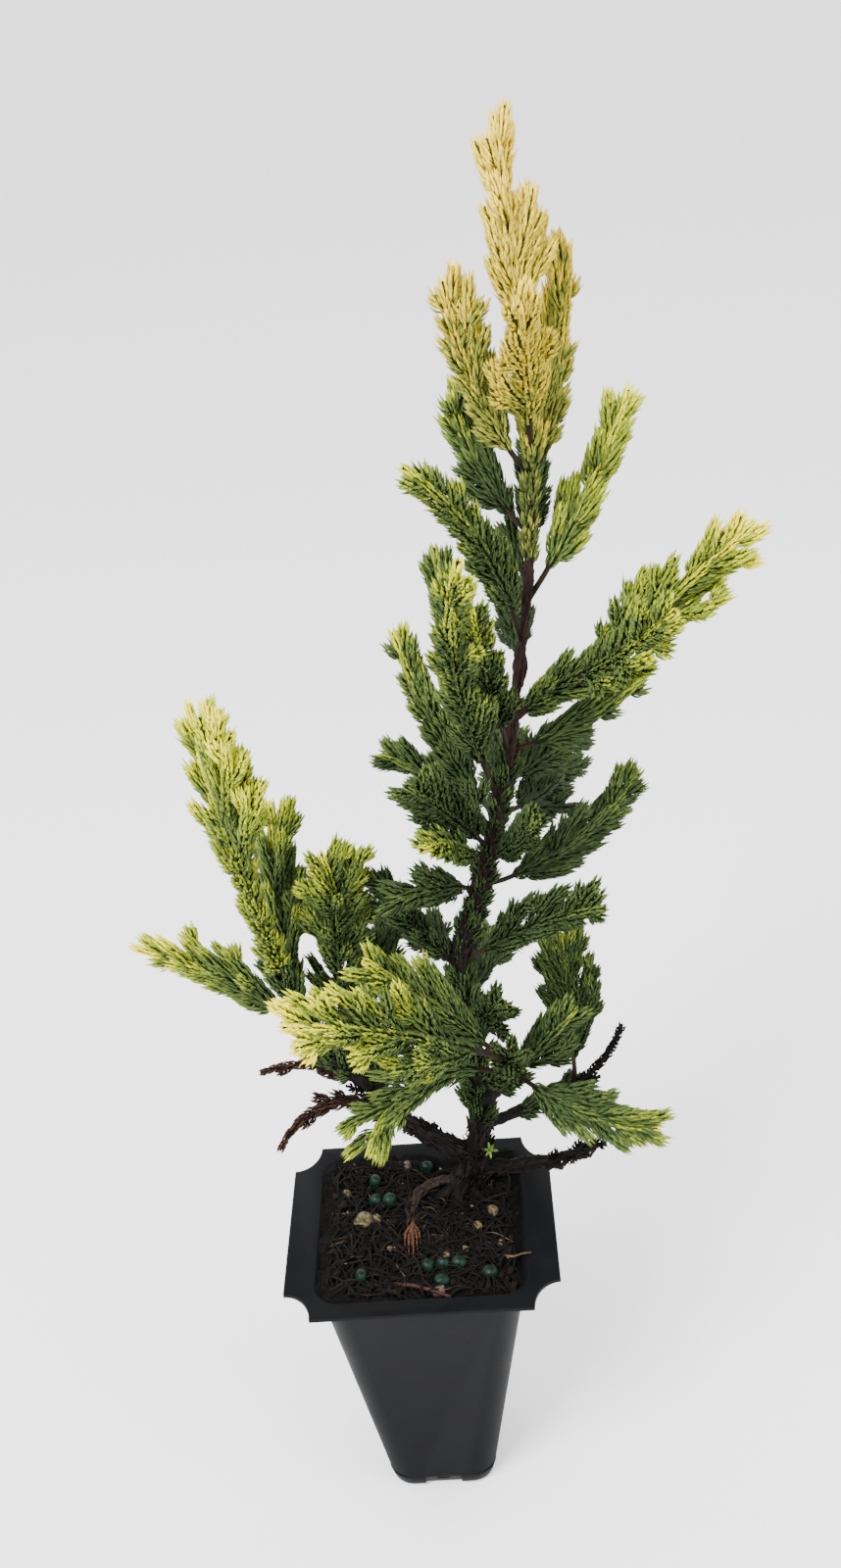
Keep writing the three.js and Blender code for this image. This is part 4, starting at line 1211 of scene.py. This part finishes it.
def stones(name, rows, dent, material):
    """Round stones in one piece: each a sphere out of round, dented and sunk into the mix."""
    made = []
    for x, y, radius in rows:
        deselect()
        z = float(soil_top(x, y)) + STONE_LIFT * radius
        bpy.ops.mesh.primitive_ico_sphere_add(subdivisions=4, radius=radius * MM,
                                              location=Vector((x, y, z)) * MM)
        stone = begin(name + "_part")
        bpy.ops.mesh.select_all(action="SELECT")
        bpy.ops.transform.resize(value=tuple(litter.uniform(*STONE_SPREAD, 3)),
                                 center_override=Vector((x, y, z)) * MM)
        modify(stone, "DISPLACE", texture=clouds("dents", DENT_SIZE * radius, 1), mid_level=0.5,
               strength=dent * radius * MM, texture_coords="LOCAL")
        made.append(stone)
    deselect()
    for stone in made:
        stone.select_set(True)
    bpy.context.view_layer.objects.active = made[0]
    if len(made) > 1:
        bpy.ops.object.join()
    piece = bpy.context.object
    piece.name = name
    smooth(piece, 70)
    dress(piece, material, "potting_mix")


stones("fertiliser_beads", [(x, y, BEAD_RADIUS) for x, y in BEADS], 0.28,
       speckled("coated_fertiliser", "#010d07", "#06241a", 1.2, 0.45))
stones("pebbles", PEBBLES, 0.8, speckled("tan_grit", "#1e1910", "#665c40", 0.9, 0.8))
stones("pink_pebbles", PINK_PEBBLES, 0.6,
       speckled("pinkish_grit", "#291e1b", "#5c4a44", 0.8, 0.8))

# %% [markdown]
# Fibres are strands of six points that bend as they go. One that would cross the pot's wall is
# drawn again. Bark chips and crumbs are short rods, flattened and with their corners out of line.

# %% Fibres and chips
FIBRE_POINTS, FIBRE_BEND, FIBRE_JITTER, FIBRE_TIP = 6, 0.3, 0.25, 0.6
FIBRE_SIDES, CHIP_SIDES = 4, 5
WALL_ROOM, FIBRE_LIFT = 0.6, 0.1
CHIP_ROOM, CHIP_LIFT, CHIP_TILT, CHIP_JITTER, CHIP_FLAT = 2, 0.9, 0.4, 0.1, 0.45
CHIP_PROFILE = np.array([0.2, 0.3, 0.22])


def fibres(count, length, radius, lift):
    """Curved strands that lie on the mix in all directions."""
    lines, radii = [], []
    while len(lines) < count:
        x, y = litter.uniform(-SOIL_HALF, SOIL_HALF, 2)
        heading = litter.uniform(0, 2 * math.pi)
        bend = litter.uniform(-FIBRE_BEND, FIBRE_BEND)
        reach, rise = litter.uniform(*length), litter.uniform(*lift)
        step = reach / (FIBRE_POINTS - 1)
        flat = []
        for _ in range(FIBRE_POINTS):
            flat.append((x, y))
            x += math.cos(heading) * step
            y += math.sin(heading) * step
            heading += bend
        flat = np.array(flat)
        if np.abs(flat).max() > SOIL_HALF - WALL_ROOM:
            continue
        hump = rise * np.sin(np.linspace(0, 3, FIBRE_POINTS))
        height = soil_top(flat[:, 0], flat[:, 1]) + FIBRE_LIFT + hump
        height += litter.uniform(-FIBRE_JITTER, FIBRE_JITTER, FIBRE_POINTS)
        lines.append(capped(np.column_stack([flat, height])))
        radii.append(litter.uniform(*radius) * np.linspace(1, FIBRE_TIP, FIBRE_POINTS))
    return rods(lines, radii, FIBRE_SIDES)


tan = speckled("dry_root_fibre", "#2f2518", "#5d4c34", 2.0, 0.85)
for name, material, *shape in (
    ("dark_fibres", speckled("rotted_fibre", "#030202", "#0c0806", 1.5, 0.9),
     620, (4, 13), (0.16, 0.5), (0.2, 2.2)),
    ("brown_fibres", speckled("dry_bark_fibre", "#0a0705", "#211710", 1.2, 0.85),
     120, (5, 15), (0.14, 0.4), (0.4, 2.2)),
    ("tan_fibres", tan, 34, (4, 12), (0.1, 0.2), (0.5, 1.6)),
):
    dress(mesh_piece(name, *fibres(*shape)), material, "potting_mix")


def chips(count, size):
    """Flat crumbs of bark: short flattened rods with corners out of line."""
    spots = litter.uniform(-SOIL_HALF + CHIP_ROOM, SOIL_HALF - CHIP_ROOM, (count, 2))
    height = soil_top(spots[:, 0], spots[:, 1]) + litter.uniform(0, CHIP_LIFT, count)
    centres = np.column_stack([spots, height])
    turns = litter.uniform(0, 2 * math.pi, count)
    tilts = litter.uniform(-CHIP_TILT, CHIP_TILT, count)
    heading = np.column_stack([np.cos(turns), np.sin(turns), tilts])
    reach = litter.uniform(*size, count)
    places = np.linspace(-0.5, 0.5, 5)
    lines = centres[:, None] + heading[:, None] * (places[None] * reach[:, None])[..., None]
    lines += litter.uniform(-CHIP_JITTER, CHIP_JITTER, lines.shape)
    radii = reach[:, None] * CHIP_PROFILE * litter.uniform(0.7, 1.3, (count, 3))
    corners, faces = rods(lines, radii, CHIP_SIDES)
    centre = np.repeat(centres[:, 2], len(corners) // count)
    corners[:, 2] = centre + CHIP_FLAT * (corners[:, 2] - centre)
    return corners, faces


dress(mesh_piece("bark_chips", *chips(380, (1.4, 3.6))),
      speckled("shredded_bark_chip", "#050303", "#150e0a", 1.2, 0.9), "potting_mix")
dress(mesh_piece("pale_crumbs", *chips(26, (0.7, 1.4))),
      speckled("pale_wood_crumb", "#4d4230", "#7d6e50", 1.0, 0.85), "potting_mix")

# %% [markdown]
# A few things on the mix stand out one by one: pointed scales, the small sprout at the trunk's
# foot, dry twigs and bare roots. Each is a single rod through a few points, swelling and
# tapering as its radii say.

# %% Scales, sprout, twigs and roots on the mix
STRAND_SPACING, STRAND_SIDES = 1.2, 10


def strand(name, rows, radii, material, slot="potting_mix"):
    """A single root, scale or twig through its points."""
    points, widths = resampled(np.array(rows, float), radii, STRAND_SPACING)
    corners, faces = rods([capped(points)], [widths], STRAND_SIDES)
    dress(mesh_piece(name, corners, faces), material, slot)


redwood = speckled("red_brown_twiglet", "#1d0f0b", "#3c2219", 1.2, 0.6)
orange = speckled("bud_scale", "#1a0e07", "#573620", 0.8, 0.5)
rooty = speckled("dry_root_bark", "#0a0705", "#2c2118", 0.9, 0.85)
fresh = speckled("fresh_sprout", "#2f4518", "#69803a", 1.0, 0.6)
SCALE_TOP = np.array([-2.4, 0.4, 83.4])
SCALE_TIPS = [(-2.2, -7.5), (-1.1, -10), (0.2, -11.5), (1.2, -8.5), (-0.4, -8), (2.0, -6)]
for number, (sway, reach) in enumerate(SCALE_TIPS, 1):
    low_end = SCALE_TOP + (sway, reach, -2.2)
    belly = 0.5 * (SCALE_TOP + low_end) + (0.35 * sway, 0, 0.6)
    strand("pointed_scale_" + str(number), [SCALE_TOP, belly, low_end], [0.12, 0.42, 0.08], orange)
SPROUT_FOOT = np.array([19.2, 10.4, 97.5])
SPROUT_LEAVES = [(250, 80, 3.2), (300, 45, 2.8), (345, 5, 2.4), (200, 30, 2.6), (235, -15, 2),
                 (280, -50, 2.2), (350, 60, 2.4)]
for number, (heading, rise, reach) in enumerate(SPROUT_LEAVES, 1):
    tip = SPROUT_FOOT + reach * direction(heading, rise)
    strand("foot_sprout_" + str(number), [SPROUT_FOOT, 0.5 * (SPROUT_FOOT + tip), tip],
           [0.25, 0.45, 0.1], fresh, "needles_lime")
strand("light_twig", [(-15.9, -14.5, 81.2), (-17.4, -16.5, 82), (-18.2, -19, 81.8),
                      (-18.4, -21.3, 80.8)], [0.35, 0.45, 0.4, 0.3], tan)
strand("red_twig", [(-7.3, -18.8, 80.7), (-2, -20.4, 81.2), (3, -22.4, 81), (7.2, -24.3, 80.6)],
       [0.5, 0.55, 0.5, 0.4], redwood)
strand("stray_fibre", [(19, -10.5, 80.6), (23.6, -12.6, 81.6), (26.2, -13.4, 83.4),
                       (28.2, -13.9, 83.9)], [0.3, 0.3, 0.25, 0.15], tan)
SURFACE_ROOT = np.array([(7.8, 14, 85), (4.2, 14.2, 84.2), (0.4, 12, 83.4), (-2.6, 7, 82.8),
                         (-3.2, 1.4, 82.2), (-2.6, -3, 81.2)])
ROOT_SWAY = np.outer([1.6, 2.2, 2.2, 1.8, 1.3, 1.3], [1, 0.7, 0.3])
ROOT_PROFILE = np.array([1.2, 1, 0.9, 0.8, 0.6, 0.3])
SURFACE_ROOTS = 9
for number in range(1, SURFACE_ROOTS + 1):
    sway = litter.uniform(-1, 1, ROOT_SWAY.shape) * ROOT_SWAY
    girth = litter.uniform(0.3, 0.62)
    strand("surface_root_" + str(number), SURFACE_ROOT + sway, girth * ROOT_PROFILE, rooty, "bark")

# %% [markdown]
# At the foot the trunk spreads into a few surface roots, and its old bark lifts off in thin
# flakes that catch the light. A stub shows where a branch was cut.

# %% Roots, flakes and stub
ROOT_SPURS = [(200, 9), (262, 7), (330, 8), (30, 7), (110, 9), (160, 6)]
foot = TRUNK[0]
for number, (heading, reach) in enumerate(ROOT_SPURS, 1):
    away = direction(heading, 0)
    start = foot + (0, 0, 5.5)
    rows = [start + away * 0.6, foot + away * 3.2 + (0, 0, 1.6), foot + away * (reach - 2)]
    rows.append(foot + away * (reach + 1) - (0, 0, 1.6))
    strand("root_spur_" + str(number), rows, [1.9, 1.6, 1.0, 0.5], bark, "bark")
strand("cut_stub", [(34.4, 8.6, 92.4), (35.6, 8.2, 93.6), (38, 6.4, 93.9)], [1.2, 1.1, 1.0], bark,
       "bark")


FLAKE_STEPS = np.linspace(0, 1, 5)
FLAKE_PROFILE = np.array([0.8, 1, 1, 0.8, 0.4])
FLAKE_REACH, FLAKE_CURL, FLAKE_WIDTH, FLAKE_SUNK = (1.5, 5.5), (0.3, 1.3), (0.2, 0.5), 0.1
FLAKE_SIDES = 4
BOUGH_FLAKES = [("bough_right_bare", 0.1, 0.98, 90), ("bough_left_low", 0.05, 0.95, 110)]


def flakes(points, radii, low, high, count):
    """Thin strips that start on a limb's bark and curl away from it."""
    lines, widths = [], []
    for _ in range(count):
        share = litter.uniform(low, high)
        point, tangent = along(points, share)
        radius = np.interp(share * (len(points) - 1), np.arange(len(points)), radii)
        across, _ = fan_axes(tangent, litter.uniform(0, 2 * math.pi))
        reach = litter.uniform(*FLAKE_REACH)
        sign = litter.choice([-1, 1])
        lifted = radius - FLAKE_SUNK + litter.uniform(*FLAKE_CURL) * FLAKE_STEPS ** 2
        line = point + sign * tangent * (reach * FLAKE_STEPS)[:, None] + across * lifted[:, None]
        lines.append(capped(line))
        widths.append(litter.uniform(*FLAKE_WIDTH) * FLAKE_PROFILE)
    return rods(lines, widths, FLAKE_SIDES)


bough_named = {bough.name: bough for bough in BOUGHS}
flake_sets = [flakes(TRUNK, TRUNK_RADII, 0.02, 0.6, 300)]
for name, low, high, count in BOUGH_FLAKES:
    flake_sets.append(flakes(limbs[name], bough_radii(bough_named[name]), low, high, count))
dress(mesh_piece("bark_flakes", *together(flake_sets)),
      speckled("grey_bark_flake", "#060403", "#1f1712", 1.4, 0.9), "bark")
